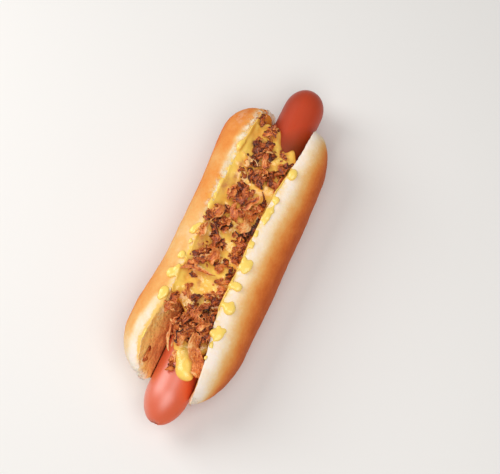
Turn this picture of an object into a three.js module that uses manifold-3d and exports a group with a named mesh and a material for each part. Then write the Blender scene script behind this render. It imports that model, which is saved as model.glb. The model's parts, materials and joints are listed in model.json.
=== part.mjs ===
// Hot dog: a frankfurter in a side-cut bun that lies opened on its hinge, under yellow sauce
// and a heap of crisp fried onions. Millimetres, +Z up. +X runs along the sausage, -Y is the
// domed half of the bun and +Y its flatter half. The origin is on the surface it rests on,
// under the middle of the whole.
import * as THREE from 'three';
import { ParametricGeometry } from 'three/addons/geometries/ParametricGeometry.js';
import { mergeVertices } from 'three/addons/utils/BufferGeometryUtils.js';
import Module from 'manifold-3d';

// ---------------------------------------------------------------- driving dimensions

const GAP = 0.35;                  // clearance between neighbouring pieces
const HINGE_THICKNESS = 9.15;      // crumb left under the sausage where the cut stops

const SAUSAGE = {
  length: 216.2,
  radius: 12.1,
  taper: 0.35,                     // thicker at the -X end by this, thinner at the +X end
  y: -4.0,                         // its axis lies a little toward the domed half
  bend: -0.8,                      // sideways drift of the +X end
  noseLength: 19, nosePower: 1.85, // rounded length of the -X end, slightly pointed
  tailLength: 14.5, tailPower: 2.1,                // and of the blunter +X end
  dimple: 1.0,                     // depth of the tied-off pucker in the nose
  dimpleRadius: 2.2,
  noseOver: 0.8,                   // what the pucker takes off the nose
};
const SAUSAGE_Z = HINGE_THICKNESS + GAP + SAUSAGE.radius;

const DOME_HALF = {                // -Y half, the browned crown
  xMin: -91.3, xMax: 83.7,
  outerY: -34.65,
  rimZ: 44.8, beltZ: 20, endZ: 24.3,
  squareness: 2.3,
  roundMin: 38, powerMin: 1.7,
  roundMax: 28, powerMax: 2.1,
};
const FLAT_HALF = {                // +Y half, the base of the bun turned up on its side
  xMin: -88.8, xMax: 85.2,
  outerY: 31.7,
  rimZ: 40.5, beltZ: 21, endZ: 23.6,
  squareness: 2.3,
  roundMin: 27, powerMin: 1.7,
  roundMax: 19, powerMax: 2.0,
};

// The two cut edges, seen from above: how far each lies out in the middle of the bun, and how
// much that changes toward the -X and the +X end.
const DOME_RIM = { out: 12.1, minSpread: 6.9, maxSpread: 5.2 };
const FLAT_RIM = { out: 17.1, swelling: 2.6, swellingX: -66, minDrawIn: 2.8, maxDrawIn: 3.2 };
const RIM_WAVE = 0.3;              // slow ups and downs of both cut edges

// The outlines, seen from above: the slimmer +X end of the dome, and the bulges beside the
// waist of the flatter half.
const DOME_OUTLINE = { slimming: 1.7, wave: 0.25 };
const FLAT_OUTLINE = { minBulge: 2.9, maxBulge: 2.2, wave: 0.2 };

const HINGE_RECESS = 5;            // the hinge ends this far short of the two halves
const RIM_ROUND = 26;              // length over which the cut edges dip at the ends
const RIM_POWER = 2.4;

const CUT_START = THREE.MathUtils.degToRad(169);   // where the domed half leaves the sausage
const CUT_END = THREE.MathUtils.degToRad(368);     // where the flat half leaves it
const BUN_COLUMNS = 25;            // steps round the section, outside and cut alike
const CRUST_SHARE = 9 / BUN_COLUMNS;               // share of those steps on each half

// Where the cut faces meet the sausage and the sauce on it: y and z.
const DOME_FOOT = { y: -16, z: 30 };
const FLAT_FOOT = { y: 8.3, z: 23.3 };

const SAUCE = {
  level: 36.4,                     // height of the bed on the sausage
  ripple: 0.5,                     // height of the slow waves in it
  bedMin: -70, bedMax: 72,         // where the bed ends
  domeSide: -16.5,                 // y of its edge under the domed half
  openSide: 5,                     // y of its free edge at the -X end
  core: [-1, 31],                  // y and z of its middle line
  floor: 29,                       // lowest sauce, on the side of the sausage
  skin: 1.4,                       // least depth of the bed
  climbMin: -48, climbFull: -36,   // it climbs the flatter half's face from here on
  shoreMin: 48, shoreFull: 70,     // its ragged +X end is drawn out of shape between these
  slope: 0.75, slopeY: -2,         // that end slants toward the flatter half, about this y,
  slopeLow: -9, slopeHigh: 4,      // between these shifts
  bight: 6, bightY: -5,            // depth and y of the bay in it, over the sausage
  bightWidth: 3.4,
  lobe: 3.6,                       // length of the lobe beside the domed half,
  lobeFrom: 7, lobeFull: 10.5,     // and how far toward that half it begins and is full
  coat: 1.5,                       // half the thickness of the film on a cut face
  blob: 2,                         // height of a blob on the crust
};
const TONGUE = {
  xMin: -82, xMax: -48, end: 9,
  y: -7.2, z: 33, half: 6.6, up: 3.4,
};
const ONION = {
  xMin: -72, xMax: 74,             // where the heap thins out
  level: 37.6,                     // height of the sauce that it lies on
  heap: 6.2,                       // height of its deepest place above that
  heapX: -52, heapLength: 16,      // that place, and how far it reaches along X
  heapFrom: -64, heapTo: -36,      // flakes are crowded between these
  y: -2.5, sway: 3.5,              // its middle line sways from side to side about this y
  half: 4, heapHalf: 4,            // half its width, and what the heap adds to that
  raggedness: 1.2,                 // how much its edge goes in and out
  up: 1.4, down: 3,                // its height above and depth below that level
  count: 64, thickness: 1.3, seed: 11,
};

// ---------------------------------------------------------------- small helpers

const { lerp, smoothstep, clamp } = THREE.MathUtils;

// 0 at an end, rising like a quarter of a superellipse to 1 at `length` from it.
function roundOff(distance, length, power) {
  const reach = clamp(1 - distance / length, 0, 1);
  return Math.pow(1 - Math.pow(reach, power), 1 / power);
}

function bell(x, centre, width) {
  return Math.exp(-(((x - centre) / width) ** 2));
}

const wasm = await Module();
wasm.setup();

// Positions only, with shared corners merged, as joins and cuts need it.
function weld(geometry) {
  const bare = geometry.clone();
  bare.deleteAttribute('normal');
  bare.deleteAttribute('uv');
  return mergeVertices(bare, 1e-3);
}

// 1 where the closed surface faces out, -1 where it faces in.
function facing(welded) {
  const position = welded.getAttribute('position');
  const corners = welded.getIndex();
  const [a, b, c] = [new THREE.Vector3(), new THREE.Vector3(), new THREE.Vector3()];
  let volume = 0;
  for (let i = 0; i < corners.count; i += 3) {
    a.fromBufferAttribute(position, corners.getX(i));
    b.fromBufferAttribute(position, corners.getX(i + 1));
    c.fromBufferAttribute(position, corners.getX(i + 2));
    volume += a.dot(b.cross(c));
  }
  return Math.sign(volume);
}

// A closed three.js geometry as a solid, facing out, without triangles that welding closed up.
function toSolid(geometry) {
  const welded = weld(geometry);
  const corners = welded.getIndex().array;
  const triangles = [];
  for (let i = 0; i < corners.length; i += 3) {
    const [p, q, r] = [corners[i], corners[i + 1], corners[i + 2]];
    if (p !== q && q !== r && r !== p) {
      triangles.push(p, q, r);
    }
  }
  if (facing(welded) < 0) {
    triangles.reverse();
  }
  return new wasm.Manifold(new wasm.Mesh({
    numProp: 3,
    vertProperties: new Float32Array(welded.getAttribute('position').array),
    triVerts: new Uint32Array(triangles),
  }));
}

// The same closed surface, pushed out along its normals by `margin`.
function swell(geometry, margin) {
  const welded = weld(geometry);
  welded.computeVertexNormals();
  const position = welded.getAttribute('position');
  const normal = welded.getAttribute('normal');
  const push = facing(welded) * margin;
  const [point, outward] = [new THREE.Vector3(), new THREE.Vector3()];
  for (let i = 0; i < position.count; i += 1) {
    outward.fromBufferAttribute(normal, i);
    point.fromBufferAttribute(position, i).addScaledVector(outward, push);
    position.setXYZ(i, point.x, point.y, point.z);
  }
  return welded;
}

function union(solids) {
  return solids.reduce((joined, next) => joined.add(next));
}

// The largest connected body, without loose scraps.
function mainBody(solid) {
  const bodies = solid.decompose();
  return bodies.reduce((best, next) => (next.volume() > best.volume() ? next : best));
}

function toGeometry(solid) {
  const mesh = solid.getMesh();
  const geometry = new THREE.BufferGeometry();
  geometry.setAttribute('position', new THREE.BufferAttribute(mesh.vertProperties, 3));
  geometry.setIndex(new THREE.BufferAttribute(mesh.triVerts, 1));
  return geometry;
}

// ---------------------------------------------------------------- sausage

function sausageRadius(x) {
  return SAUSAGE.radius - SAUSAGE.taper * (x / (SAUSAGE.length / 2));
}

function sausageY(x) {
  const along = Math.max(0, x) / (SAUSAGE.length / 2);
  return SAUSAGE.y + SAUSAGE.bend * along * along;
}

// A turned profile with a slightly pointed, puckered nose, a blunt tail and a slight bend.
function sausageGeometry() {
  const rows = 26;
  const sides = 24;
  const half = SAUSAGE.length / 2;
  const profile = [];
  for (let i = 0; i <= rows; i += 1) {
    const share = lerp(i / rows, 0.5 - 0.5 * Math.cos((Math.PI * i) / rows), 0.85);
    const x = lerp(-half - SAUSAGE.noseOver, half, share);
    const nose = roundOff(x + half + SAUSAGE.noseOver, SAUSAGE.noseLength, SAUSAGE.nosePower);
    const tail = roundOff(half - x, SAUSAGE.tailLength, SAUSAGE.tailPower);
    const radius = sausageRadius(x) * nose * tail;
    const pucker = x < 0 ? SAUSAGE.dimple * bell(radius, 0, SAUSAGE.dimpleRadius) : 0;
    profile.push(new THREE.Vector2(i === 0 || i === rows ? 0 : radius, x + pucker));
  }
  const geometry = new THREE.LatheGeometry(profile, sides);
  geometry.rotateZ(-Math.PI / 2);
  const position = geometry.getAttribute('position');
  for (let i = 0; i < position.count; i += 1) {
    const x = position.getX(i);
    position.setY(i, position.getY(i) + sausageY(x));
    position.setZ(i, position.getZ(i) + SAUSAGE_Z);
  }
  return geometry;
}

// ---------------------------------------------------------------- bun

// The two cut edges, seen from above.
function domeRimY(x) {
  const minSpread = DOME_RIM.minSpread * smoothstep(-x, 35, 85);
  const maxSpread = DOME_RIM.maxSpread * smoothstep(x, 15, 75);
  return -(DOME_RIM.out + minSpread + maxSpread);
}

function flatRimY(x) {
  const minDrawIn = FLAT_RIM.minDrawIn * smoothstep(-x, 76, 90);
  const maxDrawIn = FLAT_RIM.maxDrawIn * smoothstep(x, 48, 88);
  return FLAT_RIM.out + FLAT_RIM.swelling * bell(x, FLAT_RIM.swellingX, 13) - minDrawIn - maxDrawIn;
}

// The outlines, seen from above.
function domeOuterY(x) {
  const slimming = DOME_OUTLINE.slimming * smoothstep(x, 20, 70);
  return DOME_HALF.outerY + slimming + DOME_OUTLINE.wave * Math.sin(x / 11);
}

function flatOuterY(x) {
  const minBulge = FLAT_OUTLINE.minBulge * smoothstep(-x, 15, 55);
  const maxBulge = FLAT_OUTLINE.maxBulge * smoothstep(x, 15, 66);
  return FLAT_HALF.outerY + minBulge + maxBulge + FLAT_OUTLINE.wave * Math.sin(x / 9 + 1);
}

function rimZ(half, x) {
  const end = Math.min(x - half.xMin, half.xMax - x);
  const full = half.rimZ + RIM_WAVE * Math.sin(x / 13);
  return lerp(half.endZ, full, roundOff(end, RIM_ROUND, RIM_POWER));
}

// Crust of one half, from its cut edge (turn 0) over the outside to the underside (turn PI).
function crustPoint(half, rimY, outerY, x, turn) {
  const power = 2 / half.squareness;
  const out = Math.pow(Math.sin(turn), power);
  const up = Math.sign(Math.cos(turn)) * Math.pow(Math.abs(Math.cos(turn)), power);
  const top = rimZ(half, x) - half.beltZ;
  return [lerp(rimY, outerY, out), half.beltZ + (up > 0 ? top : half.beltZ) * up];
}

// The outside of the whole section: domed half, flat underside, flat half.
function outerSection(x, run) {
  if (run <= CRUST_SHARE) {
    const turn = (run / CRUST_SHARE) * Math.PI;
    return crustPoint(DOME_HALF, domeRimY(x), domeOuterY(x), x, turn);
  }
  if (run >= 1 - CRUST_SHARE) {
    const turn = ((1 - run) / CRUST_SHARE) * Math.PI;
    return crustPoint(FLAT_HALF, flatRimY(x), flatOuterY(x), x, turn);
  }
  const across = (run - CRUST_SHARE) / (1 - 2 * CRUST_SHARE);
  return [lerp(domeRimY(x), flatRimY(x), across), 0];
}

// The cut: down the domed half's face, round under the sausage, up the flat half's face.
function innerSection(x, run) {
  const seatStep = (CUT_END - CUT_START) / (BUN_COLUMNS * (1 - 2 * CRUST_SHARE));
  const radius = (sausageRadius(x) + GAP) / Math.cos(seatStep / 2);
  const seat = (angle) => [
    sausageY(x) + radius * Math.cos(angle),
    SAUSAGE_Z + radius * Math.sin(angle),
  ];
  if (run <= CRUST_SHARE) {
    const down = run / CRUST_SHARE;
    const foot = seat(CUT_START);
    return [lerp(domeRimY(x), foot[0], down), lerp(rimZ(DOME_HALF, x), foot[1], down)];
  }
  if (run >= 1 - CRUST_SHARE) {
    const down = (1 - run) / CRUST_SHARE;
    const foot = seat(CUT_END);
    return [lerp(flatRimY(x), foot[0], down), lerp(rimZ(FLAT_HALF, x), foot[1], down)];
  }
  const across = (run - CRUST_SHARE) / (1 - 2 * CRUST_SHARE);
  return seat(lerp(CUT_START, CUT_END, across));
}

// One closed surface: outside and cut share the two rims, and close up on each other at the ends.
function bunGeometry() {
  const rows = 30;
  const shape = (around, along, target) => {
    const outside = around <= 0.5;
    const run = outside ? 2 * around : 2 - 2 * around;
    const side = smoothstep(run, CRUST_SHARE, 1 - CRUST_SHARE);
    const recess = HINGE_RECESS * smoothstep(run, 0.2, 0.5) * (1 - smoothstep(run, 0.5, 0.8));
    const xMin = lerp(DOME_HALF.xMin, FLAT_HALF.xMin, side) + recess;
    const xMax = lerp(DOME_HALF.xMax, FLAT_HALF.xMax, side) - recess;
    const share = lerp(along, 0.5 - 0.5 * Math.cos(Math.PI * along), 0.8);
    const x = lerp(xMin, xMax, share);
    const cut = innerSection(x, run);
    if (!outside) return target.set(x, cut[0], cut[1]);
    const roundMin = lerp(DOME_HALF.roundMin, FLAT_HALF.roundMin, side);
    const roundMax = lerp(DOME_HALF.roundMax, FLAT_HALF.roundMax, side);
    const powerMin = lerp(DOME_HALF.powerMin, FLAT_HALF.powerMin, side);
    const powerMax = lerp(DOME_HALF.powerMax, FLAT_HALF.powerMax, side);
    const fullness = roundOff(x - xMin, roundMin, powerMin) * roundOff(xMax - x, roundMax, powerMax);
    const crust = outerSection(x, run);
    return target.set(x, lerp(cut[0], crust[0], fullness), lerp(cut[1], crust[1], fullness));
  };
  return new ParametricGeometry(shape, 2 * BUN_COLUMNS, rows);
}

// Height of the crust beside a cut edge, at a place seen from above.
function crustHeight(half, rimY, outerY, y) {
  const out = clamp(Math.abs((y - rimY) / (outerY - rimY)), 0, 1);
  const rise = Math.pow(1 - Math.pow(out, half.squareness), 1 / half.squareness);
  return half.beltZ + (half.rimZ - half.beltZ) * rise;
}

// ---------------------------------------------------------------- sauce

// A closed pod along X: section(x, angle) gives its side, and its ends round off to the middle.
function podGeometry(xMin, xMax, endLength, centre, section, sides = 12, rows = 16) {
  const shape = (around, along, target) => {
    const x = lerp(xMin, xMax, 0.5 - 0.5 * Math.cos(Math.PI * along));
    const fullness = roundOff(x - xMin, endLength, 2) * roundOff(xMax - x, endLength, 2);
    const middle = centre(x);
    const edge = section(x, 2 * Math.PI * (around % 1));
    return target.set(x, lerp(middle[0], edge[0], fullness), lerp(middle[1], edge[1], fullness));
  };
  return new ParametricGeometry(shape, sides, rows);
}

function signedPower(value, power) {
  return Math.sign(value) * Math.pow(Math.abs(value), power);
}

// The sauce on top of the sausage. It climbs the flatter half's cut face up to the rim.
function sauceBed() {
  const centre = () => SAUCE.core;
  const section = (x, angle) => {
    const climbs = smoothstep(x, SAUCE.climbMin, SAUCE.climbFull);
    const highY = lerp(SAUCE.openSide, flatRimY(x), climbs);
    const y = lerp(SAUCE.domeSide, highY, 0.5 + 0.5 * signedPower(Math.cos(angle), 0.6));
    const upFace = (y - FLAT_FOOT.y) / (flatRimY(x) - FLAT_FOOT.y);
    const face = lerp(FLAT_FOOT.z, FLAT_HALF.rimZ, upFace);
    const bottom = Math.max(SAUCE.floor, face - SAUCE.skin);
    const climb = climbs * smoothstep(y, 6.5, flatRimY(x) + 1);
    const level = SAUCE.level + SAUCE.ripple * Math.sin(x / 6);
    const top = Math.max(lerp(level, FLAT_HALF.rimZ, climb), bottom + SAUCE.skin);
    return [y, (top + bottom) / 2 + ((top - bottom) / 2) * signedPower(Math.sin(angle), 0.5)];
  };
  const bed = podGeometry(SAUCE.bedMin, SAUCE.bedMax, 12, centre, section, 16, 18);
  const position = bed.getAttribute('position');
  for (let i = 0; i < position.count; i += 1) {
    const share = smoothstep(position.getX(i), SAUCE.shoreMin, SAUCE.shoreFull);
    position.setX(i, position.getX(i) + share * shoreShift(position.getY(i)));
  }
  return bed;
}

// How far the +X end of the bed reaches beyond, or falls short, at each place across it.
function shoreShift(y) {
  const slant = clamp(SAUCE.slope * (y - SAUCE.slopeY), SAUCE.slopeLow, SAUCE.slopeHigh);
  const bay = SAUCE.bight * bell(y, SAUCE.bightY, SAUCE.bightWidth);
  return slant - bay + SAUCE.lobe * smoothstep(-y, SAUCE.lobeFrom, SAUCE.lobeFull);
}

// The smooth tongue that runs out over the sausage at the -X end.
function sauceTongue() {
  const centre = () => [TONGUE.y, TONGUE.z];
  const section = (x, angle) => [
    TONGUE.y + TONGUE.half * Math.cos(angle),
    TONGUE.z + TONGUE.up * Math.sin(angle),
  ];
  return podGeometry(TONGUE.xMin, TONGUE.xMax, TONGUE.end, centre, section, 12, 10);
}

// A film of sauce up one cut face, as a flat pod set along the face.
function sauceCoat(xMin, xMax, rimY, topZ, foot) {
  const centre = (x) => [(rimY(x) + foot.y) / 2, (topZ + foot.z) / 2];
  const section = (x, angle) => {
    const [middleY, middleZ] = centre(x);
    const along = Math.cos(angle);
    const across = SAUCE.coat * Math.sin(angle);
    const length = Math.hypot(rimY(x) - foot.y, topZ - foot.z);
    const tiltY = (rimY(x) - foot.y) / length;
    const tiltZ = (topZ - foot.z) / length;
    return [
      middleY + (length / 2) * along * tiltY - across * tiltZ,
      middleZ + (length / 2) * along * tiltZ + across * tiltY,
    ];
  };
  return podGeometry(xMin, xMax, 9, centre, section, 8, 14);
}

// Blobs that have squeezed over the two cut edges onto the crust: x, y, length, width.
const DOME_BLOBS = [
  [-60.5, -16.6, 5.5, 4.5], [-52.6, -17.6, 9, 8.5], [-37.8, -16.4, 7, 8], [-24.4, -15.6, 6.5, 8],
  [-12.1, -16, 8, 9], [6.7, -13.6, 8, 4], [20.5, -14.4, 8, 5], [29.4, -15.2, 6.5, 6],
  [48.2, -17.4, 7, 6],
];
const FLAT_BLOBS = [
  [-42.7, 19.6, 6.5, 6.5], [-30.8, 20, 9, 8.5], [-18.9, 19.6, 7.5, 6.5], [-2, 19.2, 8, 6.5],
  [15.8, 18.4, 10, 4], [29.7, 18, 9, 4], [54.6, 17.6, 9, 5.5],
];

function sauceBlob([x, y, length, width], height) {
  const blob = new THREE.SphereGeometry(1, 8, 6);
  blob.rotateX(Math.PI / 2);
  blob.scale(length / 2, width / 2, SAUCE.blob);
  blob.translate(x, y, height);
  return blob;
}

function sauceForms() {
  const forms = [
    sauceBed(),
    sauceTongue(),
    sauceCoat(-64, 68, domeRimY, DOME_HALF.rimZ + 0.8, DOME_FOOT),
    sauceCoat(-48, 78, flatRimY, FLAT_HALF.rimZ + 0.9, FLAT_FOOT),
  ];
  for (const blob of DOME_BLOBS) {
    const height = crustHeight(DOME_HALF, domeRimY(blob[0]), domeOuterY(blob[0]), blob[1]);
    forms.push(sauceBlob(blob, height));
  }
  for (const blob of FLAT_BLOBS) {
    const height = crustHeight(FLAT_HALF, flatRimY(blob[0]), flatOuterY(blob[0]), blob[1]);
    forms.push(sauceBlob(blob, height));
  }
  return forms;
}

// ---------------------------------------------------------------- fried onions

// A small seeded generator, so that the heap is the same each time.
function seededRandom(seed) {
  let state = seed;
  return () => {
    state = (state * 1664525 + 1013904223) % 4294967296;
    return state / 4294967296;
  };
}

// The heap is deepest toward the -X end and thins out toward +X.
function heapRise(x) {
  return ONION.heap * bell(x, ONION.heapX, ONION.heapLength);
}

// It wanders from side to side over the sauce.
function heapY(x) {
  return ONION.y + ONION.sway * Math.sin(x / 12.5 + 0.6);
}

// The packed core of the heap, lying on the sauce.
function onionCore() {
  const centre = (x) => [heapY(x), ONION.level];
  const section = (x, angle) => {
    const heapHalf = ONION.heapHalf * bell(x, ONION.heapX, ONION.heapLength);
    const half = ONION.half + heapHalf + ONION.raggedness * Math.sin(x / 3.1);
    const depth = Math.sin(angle) > 0 ? ONION.up + heapRise(x) : ONION.down;
    return [heapY(x) + half * Math.cos(angle), ONION.level + depth * Math.sin(angle)];
  };
  return podGeometry(ONION.xMin, ONION.xMax, 8, centre, section, 8, 30);
}

// One crisp flake: a thin strip, curled along its length and twisted.
function onionFlake(length, width, curl, twist) {
  const flake = new THREE.BoxGeometry(length, width, ONION.thickness, 2, 1, 1);
  const position = flake.getAttribute('position');
  for (let i = 0; i < position.count; i += 1) {
    const [x, y, z] = [position.getX(i), position.getY(i), position.getZ(i)];
    const along = (2 * x) / length;
    const turn = twist * along;
    const taper = 1 - 0.35 * along * along;
    const lift = curl * along * along;
    position.setXYZ(
      i,
      x,
      taper * (y * Math.cos(turn) - z * Math.sin(turn)),
      taper * (y * Math.sin(turn) + z * Math.cos(turn)) + lift,
    );
  }
  return flake;
}

// The core with its flakes: every third one in the deep heap, the rest spread along it.
function onionForms() {
  const random = seededRandom(ONION.seed);
  const between = (low, high) => lerp(low, high, random());
  const forms = [onionCore()];
  for (let i = 0; i < ONION.count; i += 1) {
    const heaped = i % 3 === 0;
    const spread = lerp(ONION.xMin, ONION.xMax, (i + random()) / ONION.count);
    const x = heaped ? between(ONION.heapFrom, ONION.heapTo) : spread;
    const side = between(-1, 1);
    const y = heapY(x) + 1 + (heaped ? 9 : 8) * side;
    const rise = heapRise(x) * (1 - side * side) + 0.9 * (1 - Math.abs(side));
    const flake = onionFlake(between(6, 12), between(3.5, 6), between(-1.5, 2), between(-0.6, 0.6));
    flake.rotateX(between(-0.6, 0.6));
    flake.rotateY(between(-0.4, 0.4));
    flake.rotateZ(between(0, Math.PI));
    flake.translate(x, y, ONION.level + 1 + rise);
    forms.push(flake);
  }
  return forms;
}

// ---------------------------------------------------------------- the solids

const bunShape = bunGeometry();
const sausageShape = sausageGeometry();
const bunSolid = toSolid(bunShape);
const sausageSolid = toSolid(sausageShape);
const bunRoom = toSolid(swell(bunShape, GAP + 0.05));
const sausageRoom = toSolid(swell(sausageShape, GAP + 0.05));

const sauceShapes = sauceForms();
const sauceWhole = union(sauceShapes.map(toSolid));
const sauceRoom = union(sauceShapes.map((form) => toSolid(swell(form, GAP))));
const sauceSolid = mainBody(sauceWhole.subtract(bunRoom).subtract(sausageRoom));

const onionWhole = union(onionForms().map(toSolid));
const onionSolid = mainBody(onionWhole.subtract(sauceRoom).subtract(bunRoom).subtract(sausageRoom));

function piece(name, solid, color, roughness) {
  const material = new THREE.MeshStandardMaterial({ color, roughness, metalness: 0 });
  const mesh = new THREE.Mesh(toGeometry(solid), material);
  mesh.name = name;
  return mesh;
}

const hotDog = new THREE.Group();
hotDog.name = 'hot_dog';
hotDog.add(piece('bun', bunSolid, 0xe0a560, 0.6));
hotDog.add(piece('sausage', sausageSolid, 0xc9552f, 0.35));
hotDog.add(piece('sauce', sauceSolid, 0xf2c65a, 0.3));
hotDog.add(piece('fried_onions', onionSolid, 0x9a5527, 0.7));

export default hotDog;
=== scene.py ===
"""Hot dog: a frankfurter in an opened side-cut bun, with yellow sauce and crisp fried onions."""
import json
import math

import bmesh
import bpy
import numpy as np
from mathutils import Euler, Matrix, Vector, noise
from mathutils.bvhtree import BVHTree

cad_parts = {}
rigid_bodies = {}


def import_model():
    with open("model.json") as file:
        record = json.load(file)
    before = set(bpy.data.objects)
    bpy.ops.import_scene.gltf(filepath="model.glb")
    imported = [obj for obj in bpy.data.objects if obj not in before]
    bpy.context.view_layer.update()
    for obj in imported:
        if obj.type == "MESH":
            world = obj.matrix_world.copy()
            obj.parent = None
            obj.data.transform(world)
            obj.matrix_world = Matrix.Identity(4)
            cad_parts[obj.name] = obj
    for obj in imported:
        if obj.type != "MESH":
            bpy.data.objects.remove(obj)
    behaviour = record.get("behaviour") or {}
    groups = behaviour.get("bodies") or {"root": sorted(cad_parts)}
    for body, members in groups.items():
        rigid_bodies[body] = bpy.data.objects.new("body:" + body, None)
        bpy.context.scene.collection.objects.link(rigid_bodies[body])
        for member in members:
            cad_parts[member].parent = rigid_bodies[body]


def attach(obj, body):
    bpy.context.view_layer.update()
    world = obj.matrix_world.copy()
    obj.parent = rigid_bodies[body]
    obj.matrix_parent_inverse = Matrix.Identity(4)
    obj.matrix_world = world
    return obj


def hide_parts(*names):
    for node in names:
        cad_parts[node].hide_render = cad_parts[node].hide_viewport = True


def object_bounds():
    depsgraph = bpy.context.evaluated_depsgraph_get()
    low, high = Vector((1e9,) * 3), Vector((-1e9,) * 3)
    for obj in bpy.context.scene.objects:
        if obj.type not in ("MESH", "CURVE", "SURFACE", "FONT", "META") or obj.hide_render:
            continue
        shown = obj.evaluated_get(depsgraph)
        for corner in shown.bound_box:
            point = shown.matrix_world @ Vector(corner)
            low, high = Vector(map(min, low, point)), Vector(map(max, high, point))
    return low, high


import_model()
cad_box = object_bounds()


# ---------------------------------------------------------------------------------- bun
# One soft white roll, cut along one side and lying opened on the hinge that the cut left.
# The domed half (-Y) is browned down its outside, the flatter half (+Y) is golden, both are
# pale along the cut, and the cut faces are toasted, with painted shade deeper down them. All sizes are
# millimetres.

MM = 0.001
HINGE_THICKNESS = 9.15
GAP = 0.35
SAUSAGE_RADIUS = 12.1
SAUSAGE_TAPER = 0.35
SAUSAGE_HALF = 108.1
SAUSAGE_Y = -4.0
SAUSAGE_BEND = -0.8
SAUSAGE_Z = HINGE_THICKNESS + GAP + SAUSAGE_RADIUS

DOME_HALF = {
    "x_min": -91.3, "x_max": 83.7, "outer_y": -34.5, "rim_z": 44.8, "belt_z": 20.0, "end_z": 24.3,
    "round_min": 38.0, "power_min": 1.7, "round_max": 28.0, "power_max": 2.1,
}
FLAT_HALF = {
    "x_min": -88.8, "x_max": 85.2, "outer_y": 31.6, "rim_z": 40.5, "belt_z": 21.0, "end_z": 23.6,
    "round_min": 27.0, "power_min": 1.7, "round_max": 19.0, "power_max": 2.0,
}
CRUST_SQUARENESS = 2.3
HINGE_RECESS = 5.0
RIM_ROUND = 26.0
RIM_POWER = 2.4
CUT_START = math.radians(169)
CUT_END = math.radians(368)
CRUST_SHARE = 0.36
BUN_ROWS = 330
BUN_COLUMNS = 100


def mix(low, high, share):
    return low + (high - low) * share


def ease(x, low, high):
    share = np.clip((x - low) / (high - low), 0.0, 1.0)
    return share * share * (3.0 - 2.0 * share)


def bell(x, centre, width):
    return np.exp(-(((x - centre) / width) ** 2))


def round_off(distance, length, power):
    """0 at an end, rising like a quarter of a superellipse to 1 at this length from it."""
    reach = np.clip(1.0 - distance / length, 0.0, 1.0)
    return (1.0 - reach ** power) ** (1.0 / power)


def sausage_radius(x):
    return SAUSAGE_RADIUS - SAUSAGE_TAPER * x / SAUSAGE_HALF


def sausage_y(x):
    return SAUSAGE_Y + SAUSAGE_BEND * (np.maximum(0.0, x) / SAUSAGE_HALF) ** 2


def dome_rim_y(x):
    return -(12.1 + 6.9 * ease(-x, 35, 85) + 5.2 * ease(x, 15, 75))


def flat_rim_y(x):
    drawn_in = 2.8 * ease(-x, 76, 90) + 3.2 * ease(x, 48, 88)
    return 17.1 + 2.6 * bell(x, -66, 13) - drawn_in


def dome_outer_y(x):
    return DOME_HALF["outer_y"] + 1.7 * ease(x, 20, 70) + 0.25 * np.sin(x / 11)


def flat_outer_y(x):
    bulges = 2.9 * ease(-x, 15, 55) + 2.2 * ease(x, 15, 66)
    return FLAT_HALF["outer_y"] + bulges + 0.2 * np.sin(x / 9 + 1)


def rim_z(half, x):
    end = np.minimum(x - half["x_min"], half["x_max"] - x)
    full = half["rim_z"] + 0.3 * np.sin(x / 13)
    return mix(half["end_z"], full, round_off(end, RIM_ROUND, RIM_POWER))


def crust_point(half, rim_y, outer_y, x, turn):
    """The crust of one half, from its cut edge (turn 0) over the outside to the underside (pi)."""
    power = 2.0 / CRUST_SQUARENESS
    out = np.sin(turn) ** power
    up = np.sign(np.cos(turn)) * np.abs(np.cos(turn)) ** power
    top = rim_z(half, x) - half["belt_z"]
    return mix(rim_y, outer_y, out), half["belt_z"] + np.where(up > 0, top, half["belt_z"]) * up


def outer_section(x, run):
    dome_turn = np.clip(run / CRUST_SHARE, 0, 1) * math.pi
    flat_turn = np.clip((1 - run) / CRUST_SHARE, 0, 1) * math.pi
    dome_y, dome_z = crust_point(DOME_HALF, dome_rim_y(x), dome_outer_y(x), x, dome_turn)
    flat_y, flat_z = crust_point(FLAT_HALF, flat_rim_y(x), flat_outer_y(x), x, flat_turn)
    across = np.clip((run - CRUST_SHARE) / (1 - 2 * CRUST_SHARE), 0, 1)
    under_y = mix(dome_rim_y(x), flat_rim_y(x), across)
    sides = [run <= CRUST_SHARE, run >= 1 - CRUST_SHARE]
    return np.select(sides, [dome_y, flat_y], under_y), np.select(sides, [dome_z, flat_z], 0.0)


def inner_section(x, run):
    radius = sausage_radius(x) + GAP
    across = np.clip((run - CRUST_SHARE) / (1 - 2 * CRUST_SHARE), 0, 1)
    angle = mix(CUT_START, CUT_END, across)
    foot_y = sausage_y(x) + radius * np.cos(angle)
    foot_z = SAUSAGE_Z + radius * np.sin(angle)
    dome_down = np.clip(run / CRUST_SHARE, 0, 1)
    flat_down = np.clip((1 - run) / CRUST_SHARE, 0, 1)
    sides = [run <= CRUST_SHARE, run >= 1 - CRUST_SHARE]
    edge_y = np.select(sides, [dome_rim_y(x), flat_rim_y(x)], foot_y)
    edge_z = np.select(sides, [rim_z(DOME_HALF, x), rim_z(FLAT_HALF, x)], foot_z)
    down = np.select(sides, [dome_down, flat_down], 1.0)
    return mix(edge_y, foot_y, down), mix(edge_z, foot_z, down)


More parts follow.
